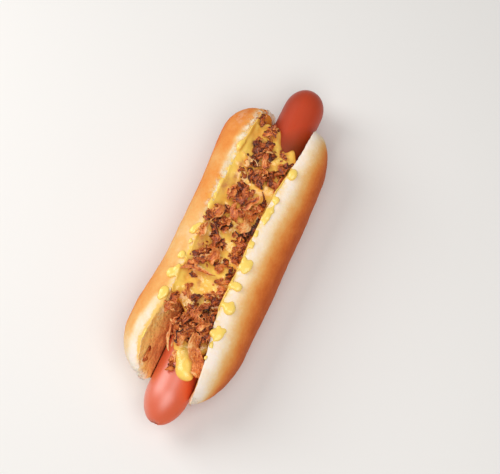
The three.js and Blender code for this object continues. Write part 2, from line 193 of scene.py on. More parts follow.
def bun_points():
    """Rows along X of one closed ring each: outside from rim to rim, then back along the cut."""
    along = np.linspace(0, 1, BUN_ROWS + 1)[:, None]
    around = (np.arange(2 * BUN_COLUMNS) / (2 * BUN_COLUMNS))[None, :]
    outside = around <= 0.5
    run = np.where(outside, 2 * around, 2 - 2 * around)
    side = ease(run, CRUST_SHARE, 1 - CRUST_SHARE)
    recess = HINGE_RECESS * ease(run, 0.2, 0.5) * (1 - ease(run, 0.5, 0.8))
    limits = {key: mix(DOME_HALF[key], FLAT_HALF[key], side) for key in DOME_HALF}
    x_min = limits["x_min"] + recess
    x_max = limits["x_max"] - recess
    x = mix(x_min, x_max, mix(along, 0.5 - 0.5 * np.cos(math.pi * along), 0.8))
    run = run + 0 * x
    cut_y, cut_z = inner_section(x, run)
    crust_y, crust_z = outer_section(x, run)
    low_end = round_off(x - x_min, limits["round_min"], limits["power_min"])
    high_end = round_off(x_max - x, limits["round_max"], limits["power_max"])
    fullness = np.where(outside, low_end * high_end, 0.0)
    points = np.stack([x, mix(cut_y, crust_y, fullness), mix(cut_z, crust_z, fullness)], axis=-1)
    return points, run, outside + 0 * x > 0.5


def ring_faces(rows, ring):
    row, column = np.meshgrid(np.arange(rows), np.arange(ring), indexing="ij")
    after = (column + 1) % ring
    return np.stack([row * ring + column, row * ring + after,
                     (row + 1) * ring + after, (row + 1) * ring + column], axis=-1).reshape(-1, 4)


def place_piece(name, mesh):
    piece = bpy.data.objects.new(name, mesh)
    bpy.context.scene.collection.objects.link(piece)
    return piece


def make_piece(name, points, faces):
    mesh = bpy.data.meshes.new(name)
    corners = [[int(i) for i in face] for face in faces]
    mesh.from_pydata((np.asarray(points) * MM).tolist(), [], corners)
    mesh.update()
    return place_piece(name, mesh)


def store(mesh, name, values, kind="FLOAT"):
    marks = mesh.attributes.new(name, kind, "POINT")
    flat = np.asarray(values, dtype=np.int32 if kind == "INT" else np.float32).ravel()
    marks.data.foreach_set("vector" if kind == "FLOAT_VECTOR" else "value", flat)


def close_up(piece, distance=0.00001):
    """Merges doubled points and turns the faces outward."""
    work = bmesh.new()
    work.from_mesh(piece.data)
    bmesh.ops.remove_doubles(work, verts=work.verts, dist=distance)
    bmesh.ops.dissolve_degenerate(work, dist=distance / 10, edges=work.edges)
    bmesh.ops.recalc_face_normals(work, faces=work.faces)
    work.to_mesh(piece.data)
    work.free()
    piece.data.shade_smooth()


def lumps(points, size, octaves=3):
    """Soft random lumps of about this size in mm, from about -1 to 1, one value a point."""
    return np.array([noise.fractal(Vector(p) / size, 1.0, 2.0, octaves) for p in points])


points, run, outside = bun_points()
steps = np.linalg.norm(np.diff(points, axis=1, append=points[:, :1]), axis=-1)
from_dome = np.cumsum(steps, axis=1) - steps
half_way = from_dome[:, BUN_COLUMNS:BUN_COLUMNS + 1]
whole = from_dome[:, -1:] + steps[:, -1:]
edge = np.where(outside, np.minimum(from_dome, half_way - from_dome),
                np.minimum(from_dome - half_way, whole - from_dome))
x, y, z = points[..., 0], points[..., 1], points[..., 2]
dome_side = run < 0.5
end_gap = np.minimum(x - mix(DOME_HALF["x_min"], FLAT_HALF["x_min"], ~dome_side),
                     mix(DOME_HALF["x_max"], FLAT_HALF["x_max"], ~dome_side) - x)

# How far each place of the crust is baked, from 0, floury white, to 1, deep brown. Both
# halves go by the distance from the cut edge, and the flatter one also by its pale strip.
DOME_DEPTHS = [0, 4.5, 8, 11.5, 15.3, 19, 22.6, 27, 60]
DOME_BAKES = [0.04, 0.07, 0.2, 0.4, 0.6, 0.78, 0.9, 1.0, 1.0]
PALE_STRIP_X = [-89, -80, -60, -47, -39, 14, 18, 31, 36, 58, 67]
PALE_STRIP_WIDTHS = [6.5, 7, 7.5, 6, 1.6, 1.4, 0.2, 0.2, 3.6, 3.8, 0.2]

ragged_edge = lumps(points.reshape(-1, 3), 7).reshape(edge.shape)
shifted = (edge - 2.0 * ease(-x, 20, 44) + 1.8 * ease(-x, 52, 74) - 1.3 * bell(x, 30, 14)
           + 2.4 * ease(x, 35, 60) + 0.6 * ragged_edge)
dome_bake = np.interp(shifted, DOME_DEPTHS, DOME_BAKES) * mix(0.6, 1.0, ease(end_gap, -2, 12))
strip = np.interp(x, PALE_STRIP_X, PALE_STRIP_WIDTHS)
flat_tone = (0.48 + 0.1 * bell(x, -42, 18) * ease(edge, 6, 12) + 0.13 * bell(x, 28, 14)
             + 0.16 * ease(x, 42, 54) * ease(edge, 4, 7) + 0.08 * ease(x, 60, 80)
             - 0.06 * bell(x, -8, 22) + 0.14 * ease(edge, 14, 21) + 0.2 * ease(edge, 24, 34))
flat_bake = flat_tone * mix(0.3, 1.0, ease(edge + 1.2 * ragged_edge, strip - 2.2, strip + 2.6))
flat_bake = flat_bake * mix(0.25, 1.0, ease(x - FLAT_HALF["x_min"], 2, 26))
bake = np.where(dome_side, dome_bake, flat_bake)
bake = mix(bake, 0.6, ease(-z, -9, -1) * outside)

# The cut faces: toast and painted shade, darker down the cut; where sauce soaked in; where the crust is
# torn.
toast_and_shade = np.interp(edge, [0, 2.0, 6, 10, 15], [0.36, 0.4, 0.46, 0.62, 0.85]) + 0.14 * ragged_edge
toast_and_shade = toast_and_shade * mix(1.0, 0.1, ease(x, 74, 81) * (run > 0.5)) * mix(0.35, 1.0, ease(x, -89, -82))
stain = np.where(dome_side, 0.75 * bell(edge, 0, 2.6) * ease(x, -58, -46) * (1 - ease(x, 42, 56)),
                 bell(edge, 0, 2.0) * ease(x, -66, -50) * (1 - ease(x, 66, 74)))
stain = np.maximum(stain, np.where(dome_side, 0, 0.9 * bell(x, 25, 8) * bell(edge, 0, 4)))
torn = np.where(outside & ~dome_side, 1.1 * ease(x, -16, 30) * (1 - ease(edge, 2.5, 5.5))
                + 0.3 * bell(x, 71, 6) * bell(edge, 10, 4) + 1.3 * ease(x, 81.5, 84), 0.0)
torn = torn + 1.2 * outside * (x < 0) * (1 - ease(end_gap, 1.2, 4.2))

# Relief: shallow waves in the crust, ridges where it is torn, and a rough crumb on the cuts.
# The cut edges are tattered, the flatter half's most toward the nose.
CRUST_WAVE = 0.4
CRUST_WRINKLE = 0.1
LEAST_SHRINK = 0.14
RIDGE_DEPTH = 0.6
CRUMB_DEPTH = 0.5
CRUMB_WAVE = 0.35
SEAT_SHRINK = 0.15
TATTER_OUT = 0.25
TATTER_UP = 0.35

bun_spots = points.reshape(-1, 3)
relief = CRUST_WAVE * (lumps(bun_spots, 22) - 0.6) + CRUST_WRINKLE * (lumps(bun_spots, 5) - 0.6)
relief = np.minimum(relief, -LEAST_SHRINK)
crumb = (CRUMB_DEPTH * (lumps(bun_spots * [0.6, 1, 1], 3.0, 4) - 0.3)
         + CRUMB_WAVE * lumps(bun_spots + 40, 9))
ridges = np.abs(lumps(bun_spots * [1.0, 0.5, 1.0], 2.6))
on_cut = (~outside).ravel() * ease(edge.ravel(), 0.0, 1.2)
on_seat = ((run > CRUST_SHARE) & (run < 1 - CRUST_SHARE) & ~outside).ravel()
push = np.where(outside.ravel(), relief - RIDGE_DEPTH * torn.ravel() * ridges, on_cut * crumb)
push = np.where(on_seat, -SEAT_SHRINK, push)
frayed = 1 + 1.6 * ease(-x, 44, 52) * ~dome_side
tatter = lumps(bun_spots + 90, 2.2) * (bell(edge, 0, 1.4) * frayed).ravel()
lip = outside * ~dome_side * ease(-x, 40, 50) * (1 - ease(-x, 78, 86))

bun = make_piece("bun_loaf", bun_spots, ring_faces(BUN_ROWS, 2 * BUN_COLUMNS))
for mark, values in (("bake", bake), ("edge", edge), ("toast_and_shade", toast_and_shade), ("stain", stain),
                     ("torn", torn), ("lip", lip), ("cut", 1.0 - outside), ("push", push),
                     ("tatter", tatter)):
    store(bun.data, mark, values)
close_up(bun)


def read(piece, name):
    values = np.empty(len(piece.data.vertices), dtype=np.float32)
    piece.data.attributes[name].data.foreach_get("value", values)
    return values


def places(piece):
    values = np.empty(3 * len(piece.data.vertices))
    piece.data.vertices.foreach_get("co", values)
    return values.reshape(-1, 3)


def normals(piece):
    values = np.empty(3 * len(piece.data.vertices), dtype=np.float32)
    piece.data.vertex_normals.foreach_get("vector", values)
    return values.reshape(-1, 3)


def move(piece, spots, *marks_used_up):
    piece.data.vertices.foreach_set("co", spots.ravel())
    piece.data.update()
    for mark in marks_used_up:
        piece.data.attributes.remove(piece.data.attributes[mark])


spots = places(bun) + normals(bun) * read(bun, "push")[:, None] * MM
spots[:, 1] += TATTER_OUT * MM * read(bun, "tatter")
spots[:, 2] += TATTER_UP * MM * read(bun, "tatter")
spots[:, 2] = np.maximum(spots[:, 2], 0.0)
move(bun, spots, "push", "tatter")


def tint(red, green, blue):
    """A screen colour, 0 to 255, as the linear colour that a shader takes."""
    def linear(value):
        value = value / 255
        return value / 12.92 if value <= 0.04045 else ((value + 0.055) / 1.055) ** 2.4
    return (linear(red), linear(green), linear(blue), 1.0)


BLACK = (0.0, 0.0, 0.0, 1.0)
WHITE = (1.0, 1.0, 1.0, 1.0)


def new_finish(name):
    """An empty material, its tree, its main shader and its place on the piece."""
    finish = bpy.data.materials.new(name)
    finish.use_nodes = True
    tree = finish.node_tree
    shader = next(n for n in tree.nodes if n.type == "BSDF_PRINCIPLED")
    where = tree.nodes.new("ShaderNodeTexCoord").outputs["Object"]
    return finish, tree, shader, where


def add(tree, kind, settings=None, **inputs):
    """A node with its settings and inputs; _0, _1 name inputs by number. Returns its outputs."""
    made = tree.nodes.new(kind)
    for name, value in (settings or {}).items():
        setattr(made, name, value)
    for name, value in inputs.items():
        key = int(name[1:]) if name[0] == "_" else name.replace("_", " ")
        if isinstance(value, bpy.types.NodeSocket):
            tree.links.new(value, made.inputs[key])
        else:
            made.inputs[key].default_value = value
    return made.outputs


def math_of(tree, operation, *values, clamp=False):
    inputs = {f"_{i}": value for i, value in enumerate(values)}
    return add(tree, "ShaderNodeMath", {"operation": operation, "use_clamp": clamp}, **inputs)[0]


def grain(tree, where, scale, detail=3.0, rough=0.55):
    """Noise from 0 to 1, its lumps about 1/scale metres across."""
    return add(tree, "ShaderNodeTexNoise", Vector=where, Scale=scale, Detail=detail,
               Roughness=rough)["Fac"]


def ramp(tree, share, *stops):
    outputs = add(tree, "ShaderNodeValToRGB", _0=share)
    band = outputs[0].node.color_ramp
    while len(band.elements) < len(stops):
        band.elements.new(0.5)
    for element, (place, colour) in zip(band.elements, stops):
        element.position = place
        element.color = colour
    return outputs["Color"]


def blend(tree, share, low, high, how="MIX"):
    return add(tree, "ShaderNodeMix", {"data_type": "RGBA", "blend_type": how},
               _0=share, _6=low, _7=high)[2]


def marked(tree, name):
    return add(tree, "ShaderNodeAttribute", {"attribute_name": name})["Fac"]


def vary(tree, share, pattern, amount):
    """Adds a 0 to 1 pattern to a share, centred so that it goes up and down by half the amount."""
    return math_of(tree, "ADD", share, math_of(tree, "MULTIPLY_ADD", pattern, amount, -amount / 2))


def bump(tree, height, distance, strength, under=None):
    inputs = {"Height": height, "Distance": distance, "Strength": strength}
    if under is not None:
        inputs["Normal"] = under
    return add(tree, "ShaderNodeBump", **inputs)[0]


def soft_inside(shader, weight, radius, scale_mm):
    shader.inputs["Subsurface Weight"].default_value = weight
    shader.inputs["Subsurface Radius"].default_value = radius
    shader.inputs["Subsurface Scale"].default_value = scale_mm * MM


FLOURY = tint(250, 234, 219)
CREAM = tint(248, 219, 176)
GOLD = tint(241, 184, 112)
AMBER = tint(236, 150, 72)
BROWN = tint(222, 116, 48)
DEEP_BROWN = tint(196, 90, 34)
SAUCE_STAIN = tint(254, 206, 88)
WHITE_CRUMB = tint(250, 232, 204)
GOLD_CRUMB = tint(255, 200, 112)
TOASTED = tint(250, 170, 96)
DARK_TOAST_IN_SHADE = tint(204, 116, 66)
PORE_SHADE = tint(206, 160, 120)


def crust_finish():
    finish, tree, shader, where = new_finish("baked_crust")
    mottle = grain(tree, where, 120, 4)
    speckle = grain(tree, where, 620, 3)
    baked = marked(tree, "bake")
    share = vary(tree, vary(tree, baked, mottle, 0.3), speckle, 0.16)
    colour = ramp(tree, share, (0.03, FLOURY), (0.2, CREAM), (0.42, GOLD), (0.62, AMBER),
                  (0.82, BROWN), (1.0, DEEP_BROWN))
    patchy = ramp(tree, grain(tree, where, 380, 4, 0.65), (0.4, BLACK), (0.52, WHITE))
    soaked = math_of(tree, "MULTIPLY", marked(tree, "stain"), patchy, clamp=True)
    colour = blend(tree, soaked, colour, SAUCE_STAIN)
    rub = math_of(tree, "SUBTRACT", 2.6, marked(tree, "edge"))
    rub = vary(tree, math_of(tree, "MULTIPLY", rub, 0.8), grain(tree, where, 300, 4, 0.6), 5.0)
    rub = math_of(tree, "MULTIPLY", rub, marked(tree, "lip"), clamp=True)
    colour = blend(tree, rub, colour, GOLD_CRUMB)
    flaky = ramp(tree, grain(tree, where, 300, 5, 0.6), (0.46, BLACK), (0.6, WHITE))
    flaky = math_of(tree, "MULTIPLY", marked(tree, "torn"), flaky, clamp=True)
    colour = blend(tree, math_of(tree, "MULTIPLY", flaky, 0.85), colour, WHITE_CRUMB)
    tree.links.new(colour, shader.inputs["Base Color"])
    tree.links.new(math_of(tree, "MULTIPLY_ADD", speckle, 0.2, 0.55), shader.inputs["Roughness"])
    wrinkles = bump(tree, grain(tree, where, 300, 5, 0.62), 0.0006, 0.42)
    skin = bump(tree, grain(tree, where, 1100, 3), 0.0002, 0.45, wrinkles)
    tree.links.new(bump(tree, flaky, 0.0005, 0.7, skin), shader.inputs["Normal"])
    soft_inside(shader, 0.1, (1.0, 0.55, 0.25), 4)
    shader.inputs["Specular IOR Level"].default_value = 0.12
    return finish


def crumb_finish():
    finish, tree, shader, where = new_finish("toasted_crumb")
    drawn_out = add(tree, "ShaderNodeMapping", Vector=where, Scale=(0.45, 1.0, 1.0))[0]
    patches = grain(tree, drawn_out, 170, 4, 0.6)
    fine = grain(tree, where, 800, 4, 0.65)
    pores = add(tree, "ShaderNodeTexVoronoi", {"feature": "SMOOTH_F1"}, Vector=where, Scale=560.0,
                Smoothness=0.5)["Distance"]
    # Painted shade: the crumb turns darker brown further down the cut.
    share = vary(tree, vary(tree, marked(tree, "toast_and_shade"), patches, 0.6), fine, 0.35)
    colour = ramp(tree, share, (0.12, WHITE_CRUMB), (0.42, GOLD_CRUMB), (0.7, TOASTED),
                  (1.0, DARK_TOAST_IN_SHADE))
    soaked = math_of(tree, "MULTIPLY", marked(tree, "stain"), patches)
    colour = blend(tree, soaked, colour, SAUCE_STAIN)
    # Painted shade in the crumb's pores.
    pore_shade = ramp(tree, pores, (0.08, PORE_SHADE), (0.4, WHITE))
    colour = blend(tree, 0.38, colour, pore_shade, "MULTIPLY")
    tree.links.new(colour, shader.inputs["Base Color"])
    shader.inputs["Roughness"].default_value = 0.85
    shader.inputs["Specular IOR Level"].default_value = 0.25
    holes = bump(tree, pores, 0.0009, 0.7)
    tree.links.new(bump(tree, fine, 0.0005, 0.6, holes), shader.inputs["Normal"])
    soft_inside(shader, 0.12, (1.0, 0.6, 0.3), 4)
    return finish


bun.data.materials.append(crust_finish())
bun.data.materials.append(crumb_finish())
cut_share = read(bun, "cut")
for polygon in bun.data.polygons:
    polygon.material_index = int(min(cut_share[i] for i in polygon.vertices) > 0.5)
bun.data.attributes.remove(bun.data.attributes["cut"])
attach(bun, "root")
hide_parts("bun")


# ------------------------------------------------------------------------------ sausage
# A long smoked frankfurter in a thin smooth skin, moist and softly shining. Its nose is
# drawn together where the casing was tied off, and its tail is blunt and a little darker.

NOSE_LENGTH = 19.0
NOSE_POWER = 1.85
TAIL_LENGTH = 14.5
TAIL_POWER = 2.1
NOSE_OVER = 0.6
DIMPLE_DEPTH = 1.0
DIMPLE_RADIUS = 2.2
PUCKERS = 9
PUCKER_RADIUS = 2.4
PUCKER_DEPTH = 0.28
SKIN_DENT = 0.5
SAUSAGE_ROWS = 170
SAUSAGE_SIDES = 120


def new_tree(name, sizes, *others):
    """An empty Geometry Nodes tree with its sizes in mm and its other inputs, and both its ends."""
    tree = bpy.data.node_groups.new(name, "GeometryNodeTree")
    tree.interface.new_socket("Geometry", in_out="INPUT", socket_type="NodeSocketGeometry")
    for label, value in sizes.items():
        socket = tree.interface.new_socket(label, in_out="INPUT", socket_type="NodeSocketFloat")
        socket.default_value = value * MM
    for label, kind in others:
        tree.interface.new_socket(label, in_out="INPUT", socket_type="NodeSocket" + kind)
    tree.interface.new_socket("Geometry", in_out="OUTPUT", socket_type="NodeSocketGeometry")
    given = tree.nodes.new("NodeGroupInput").outputs
    return tree, given, tree.nodes.new("NodeGroupOutput").inputs


def end_tree(tree, geometry, finish, result):
    real = add(tree, "GeometryNodeRealizeInstances", Geometry=geometry)[0]
    finished = add(tree, "GeometryNodeSetMaterial", Geometry=real, Material=finish)[0]
    tree.links.new(finished, result["Geometry"])
    return tree


def sausage_tree():
    """Geometry Nodes: a circle swept along X whose radius closes both ends, then puckered."""
    sizes = {
        "Half Length": SAUSAGE_HALF, "Radius": SAUSAGE_RADIUS, "Taper": SAUSAGE_TAPER,
        "Nose Length": NOSE_LENGTH, "Tail Length": TAIL_LENGTH, "Nose Over": NOSE_OVER,
        "Dimple Depth": DIMPLE_DEPTH, "Dimple Radius": DIMPLE_RADIUS, "Axis Y": SAUSAGE_Y,
        "Axis Z": SAUSAGE_Z, "Bend": SAUSAGE_BEND, "Pucker Radius": PUCKER_RADIUS,
        "Pucker Depth": PUCKER_DEPTH, "Skin Dent": SKIN_DENT,
    }
    tree, given, result = new_tree("sausage_casing", sizes, ("Finish", "Material"))

    def calc(operation, *values):
        return math_of(tree, operation, *values)

    def square(value):
        return calc("MULTIPLY", value, value)

    def fade(value):
        return calc("EXPONENT", calc("MULTIPLY", square(value), -1.0))

    def superellipse(distance, length, power):
        reach = calc("MAXIMUM", calc("SUBTRACT", 1.0, calc("DIVIDE", distance, length)), 0.0)
        return calc("POWER", calc("SUBTRACT", 1.0, calc("POWER", reach, power)), 1.0 / power)

    def keep(geometry, name, value):
        return add(tree, "GeometryNodeStoreNamedAttribute", {"data_type": "FLOAT", "domain": "POINT"},
                   Geometry=geometry, Name=name, Value=value)[0]

    def shift(geometry, **how):
        return add(tree, "GeometryNodeSetPosition", Geometry=geometry, **how)[0]

    line = add(tree, "GeometryNodeCurvePrimitiveLine", End=(1.0, 0.0, 0.0))["Curve"]
    rows = add(tree, "GeometryNodeResampleCurve", Curve=line, Count=SAUSAGE_ROWS)["Curve"]
    along = add(tree, "GeometryNodeSplineParameter")["Factor"]
    wave = calc("MULTIPLY_ADD", calc("COSINE", calc("MULTIPLY", along, math.pi)), -0.5, 0.5)
    share = calc("ADD", calc("MULTIPLY", along, 0.15), calc("MULTIPLY", wave, 0.85))
    start = calc("SUBTRACT", calc("MULTIPLY", given["Half Length"], -1.0), given["Nose Over"])
    x = calc("MULTIPLY_ADD", share, calc("SUBTRACT", given["Half Length"], start), start)
    nose = superellipse(calc("SUBTRACT", x, start), given["Nose Length"], NOSE_POWER)
    tail = superellipse(calc("SUBTRACT", given["Half Length"], x), given["Tail Length"], TAIL_POWER)
    lean = calc("MULTIPLY", given["Taper"], calc("DIVIDE", x, given["Half Length"]))
    full_radius = calc("SUBTRACT", given["Radius"], lean)
    radius = calc("MAXIMUM", calc("MULTIPLY", full_radius, calc("MULTIPLY", nose, tail)), 0.000001)
    dimple = fade(calc("DIVIDE", radius, given["Dimple Radius"]))
    dimple = calc("MULTIPLY", dimple, calc("LESS_THAN", x, 0.0))
    sway = square(calc("DIVIDE", calc("MAXIMUM", x, 0.0), given["Half Length"]))
    spot = add(tree, "ShaderNodeCombineXYZ", X=calc("MULTIPLY_ADD", dimple, given["Dimple Depth"], x),
               Y=calc("MULTIPLY_ADD", sway, given["Bend"], given["Axis Y"]), Z=given["Axis Z"])[0]
    spine = shift(keep(keep(rows, "thickness", radius), "pucker", dimple), Position=spot)
    circle = add(tree, "GeometryNodeCurvePrimitiveCircle", Resolution=SAUSAGE_SIDES,
                 Radius=1.0)["Curve"]
    thickness = add(tree, "GeometryNodeInputNamedAttribute", {"data_type": "FLOAT"},
                    Name="thickness")[0]
    skin = add(tree, "GeometryNodeCurveToMesh", Curve=spine, Profile_Curve=circle, Scale=thickness)[0]
    closed = add(tree, "GeometryNodeMergeByDistance", Geometry=skin, Distance=0.000003)[0]
    position = add(tree, "GeometryNodeInputPosition")[0]
    here = add(tree, "ShaderNodeSeparateXYZ", Vector=position)
    side = calc("SUBTRACT", here["Y"], given["Axis Y"])
    rise = calc("SUBTRACT", here["Z"], given["Axis Z"])
    turn = calc("ARCTAN2", rise, side)
    away = calc("SQRT", calc("ADD", square(rise), square(side)))
    ring = fade(calc("DIVIDE", calc("SUBTRACT", away, given["Pucker Radius"]),
                     calc("MULTIPLY", given["Pucker Radius"], 0.75)))
    slow = calc("SINE", calc("MULTIPLY_ADD", turn, 4.0, 1.3))
    fold = calc("MULTIPLY_ADD", slow, 0.6, calc("SINE", calc("MULTIPLY", turn, float(PUCKERS))))
    at_nose = calc("LESS_THAN", here["X"], 0.0)
    crease = calc("MULTIPLY", calc("MULTIPLY_ADD", fold, 0.5, 0.8), at_nose)
    crease = calc("MULTIPLY", calc("MULTIPLY", crease, ring), given["Pucker Depth"])
    puckered = shift(closed, Offset=add(tree, "ShaderNodeCombineXYZ", X=crease)[0])
    waves = grain(tree, position, 26.0, 1.0)
    dent = calc("MULTIPLY", calc("SUBTRACT", waves, 0.85), given["Skin Dent"])
    inward = add(tree, "ShaderNodeVectorMath", {"operation": "SCALE"},
                 _0=add(tree, "GeometryNodeInputNormal")[0], Scale=calc("MINIMUM", dent, 0.0))[0]
    smooth = add(tree, "GeometryNodeSetShadeSmooth", Geometry=shift(puckered, Offset=inward))[0]
    return end_tree(tree, smooth, given["Finish"], result)


def evaluated_mesh(holder, name):
    bpy.context.view_layer.update()
    evaluated = holder.evaluated_get(bpy.context.evaluated_depsgraph_get())
    mesh = bpy.data.meshes.new_from_object(evaluated)
    mesh.name = name
    bpy.data.objects.remove(holder)
    return mesh


def grow(name, tree, inputs, start=None):
    """Runs a Geometry Nodes tree and keeps its result as one plain mesh object."""
    holder = place_piece(name + "_start", start or bpy.data.meshes.new(name + "_start"))
    modifier = holder.modifiers.new("grow", "NODES")
    modifier.node_group = tree
    for item in tree.interface.items_tree:
        if item.item_type == "SOCKET" and item.in_out == "INPUT" and item.name in inputs:
            modifier[item.identifier] = inputs[item.name]
    return place_piece(name, evaluated_mesh(holder, name))


NOSE_SKIN = tint(234, 100, 56)
MIDDLE_SKIN = tint(212, 82, 42)
TAIL_SKIN = tint(194, 68, 34)
SHADED_TAIL_SKIN = tint(144, 54, 34)
BUN_SHADED_SKIN = tint(136, 60, 32)
SPECKLED_SKIN = tint(166, 60, 36)
PUCKERED_SKIN = tint(120, 50, 32)


def skin_finish():
    """Pale at the nose, with painted shade along the tail's +Y side and where the tail leaves the bun.
    """
    finish, tree, shader, where = new_finish("sausage_skin")
    stretched = add(tree, "ShaderNodeMapping", Vector=where, Scale=(0.35, 1.0, 1.0))[0]
    speck = grain(tree, where, 900, 2)
    place = add(tree, "ShaderNodeSeparateXYZ", Vector=where)
    along = math_of(tree, "MULTIPLY_ADD", place["X"], 3.6, 0.4)
    # Painted shade: the tail darkens along its +Y side, where the flatter half shades it.
    sideways = math_of(tree, "MULTIPLY_ADD", place["Y"], 26.0, 0.1)
    tail_side_shade = math_of(tree, "MULTIPLY", sideways, along, clamp=True)
    along = math_of(tree, "ADD", along, tail_side_shade)
    colour = ramp(tree, vary(tree, along, grain(tree, stretched, 60, 3), 0.2),
                  (0.03, NOSE_SKIN), (0.4, MIDDLE_SKIN), (0.75, TAIL_SKIN), (1.0, SHADED_TAIL_SKIN))
    # Painted shade: the tail darkens on its -Y side where it leaves the bun.
    beyond_middle = math_of(tree, "MULTIPLY_ADD", place["X"], 30.0, -1.0, clamp=True)
    bun_shade = math_of(tree, "MULTIPLY_ADD", place["X"], -65.0, 4.8)
    bun_shade = math_of(tree, "MULTIPLY_ADD", place["Y"], -60.0, bun_shade, clamp=True)
    colour = blend(tree, math_of(tree, "MULTIPLY", bun_shade, beyond_middle), colour, BUN_SHADED_SKIN)
    colour = blend(tree, math_of(tree, "MULTIPLY", speck, 0.12), colour, SPECKLED_SKIN)
    puckered = math_of(tree, "MULTIPLY", marked(tree, "pucker"), 0.55)
    colour = blend(tree, puckered, colour, PUCKERED_SKIN)
    tree.links.new(colour, shader.inputs["Base Color"])
    rough = math_of(tree, "MULTIPLY_ADD", grain(tree, where, 180, 3), 0.12, 0.36)
    tree.links.new(rough, shader.inputs["Roughness"])
    ripple = bump(tree, grain(tree, stretched, 340, 3, 0.5), 0.00022, 0.25)
    tree.links.new(bump(tree, speck, 0.00006, 0.3, ripple), shader.inputs["Normal"])
    soft_inside(shader, 0.1, (1.0, 0.35, 0.2), 3)
    shader.inputs["Specular IOR Level"].default_value = 0.3
    toward_nose = math_of(tree, "MULTIPLY_ADD", place["X"], -10.0, 0.1, clamp=True)
    leaning = math_of(tree, "MULTIPLY_ADD", place["Y"], 0.7, place["Z"])
    toward_top = math_of(tree, "MULTIPLY_ADD", leaning, 100.0, -1.9, clamp=True)
    tree.links.new(math_of(tree, "MULTIPLY", toward_nose, toward_top), shader.inputs["Coat Weight"])
    shader.inputs["Coat Roughness"].default_value = 0.44
    shader.inputs["Coat IOR"].default_value = 2.0
    return finish


sausage = grow("frankfurter", sausage_tree(), {"Finish": skin_finish()})
close_up(sausage, 0.000002)
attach(sausage, "root")
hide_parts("sausage")


# -------------------------------------------------------------------------------- sauce
# A thick, smooth yellow cheese and mustard sauce. It lies over the sausage, coats the cut
# faces, runs out as a tongue toward the nose and has squeezed over both cut edges in blobs.

SAUCE_LEVEL = 36.4
SAUCE_GRAIN = 0.5
SAUCE_SEED = 5
FLAT_FOOT_Y = 8.3
FLAT_FOOT_Z = 23.3
BED_MIDDLE = (-1.0, 31.0)
BED_LOW_Y = -16.5
BED_HIGH_Y = 5.0
BED_BOTTOM = 29.0
BED_LEAST_DEPTH = 1.4
TONGUE_Y = -8.4
TONGUE_Z = 32.4
TONGUE_HALF_WIDTH = 6.2
TONGUE_HALF_HEIGHT = 3.4


def pod(x_min, x_max, end_length, section, rows=60, sides=28):
    """Points and faces of a closed form along X whose ends round off to its middle line."""
    along = np.linspace(0, 1, rows + 1)[:, None]
    angle = (np.arange(sides) / sides * 2 * math.pi)[None, :]
    place = mix(x_min, x_max, 0.5 - 0.5 * np.cos(math.pi * along)) + 0 * angle
    fullness = round_off(place - x_min, end_length, 2) * round_off(x_max - place, end_length, 2)
    fullness = np.maximum(fullness, 0.002)
    (middle_y, middle_z), (edge_y, edge_z) = section(place, angle)
    form = np.stack([place, mix(middle_y, edge_y, fullness), mix(middle_z, edge_z, fullness)],
                    axis=-1)
    return form.reshape(-1, 3), capped(rows, sides)


def capped(rows, sides):
    ends = [list(range(sides))[::-1], [rows * sides + i for i in range(sides)]]
    return ring_faces(rows, sides).tolist() + ends


def signed_power(values, power):
    return np.sign(values) * np.abs(values) ** power


def bed_section(x, angle):
    """From the domed half over the sausage, then up the flatter half's face to its rim."""
    climbs = ease(x, -48, -36)
    high_y = mix(BED_HIGH_Y, flat_rim_y(x) + 0.2, climbs)
    y = mix(BED_LOW_Y, high_y, (1 + signed_power(np.cos(angle), 0.6)) / 2)
    face = mix(FLAT_FOOT_Z, rim_z(FLAT_HALF, x), (y - FLAT_FOOT_Y) / (flat_rim_y(x) - FLAT_FOOT_Y))
    bottom = np.maximum(BED_BOTTOM, face - 1.0)
    climb = climbs * ease(y, 6.5 + 1.5 * np.sin(x / 9), flat_rim_y(x) + 1.6)
    top = SAUCE_LEVEL + 0.5 * np.sin(x / 6)
    top = np.maximum(mix(top, rim_z(FLAT_HALF, x) + 0.3, climb), bottom + BED_LEAST_DEPTH)
    rise = signed_power(np.sin(angle), 0.5)
    return BED_MIDDLE, (y, (top + bottom) / 2 + (top - bottom) / 2 * rise)


def tongue_section(x, angle):
    middle_y = TONGUE_Y + 4.0 * ease(x, -80, -62) + 0.4 * np.sin(x / 3)
    half = TONGUE_HALF_WIDTH + 0.4 * np.sin(x / 2.3)
    return (middle_y, TONGUE_Z), (middle_y + half * np.cos(angle),
                                  TONGUE_Z + TONGUE_HALF_HEIGHT * np.sin(angle))


def coat_section(rim_y, top_z, foot_y, foot_z, thick, seed):
    """A sheet of sauce from a cut edge down its face, ragged along the top."""
    def section(x, angle):
        ragged = np.sin(x / 5.3 + seed) + 0.8 * np.sin(x / 2.9 + 2 * seed) + 0.6 * np.sin(x / 1.3)
        high_y, high_z = rim_y(x) + 0.2 * ragged, top_z + 0.45 * ragged
        middle_y, middle_z = (high_y + foot_y) / 2, (high_z + foot_z) / 2
        length = np.hypot(high_y - foot_y, high_z - foot_z)
        tilt_y, tilt_z = (high_y - foot_y) / length, (high_z - foot_z) / length
        across = (thick + 0.25 * np.sin(x / 4.1 + 3 * seed)) * np.sin(angle)
        reach = length / 2 * np.cos(angle)
        return (middle_y, middle_z), (middle_y + reach * tilt_y - across * tilt_z,
                                      middle_z + reach * tilt_z + across * tilt_y)
    return section


def ball(centre, radii, rows=14, sides=20):
    polar = np.linspace(0.02, math.pi - 0.02, rows + 1)[:, None]
    angle = (np.arange(sides) / sides * 2 * math.pi)[None, :]
    form = np.stack([np.cos(polar) + 0 * angle, np.sin(polar) * np.cos(angle),
                     signed_power(np.sin(polar) * np.sin(angle), 0.75)], axis=-1).reshape(-1, 3)
    return form * np.array(radii) + np.array(centre), capped(rows, sides)


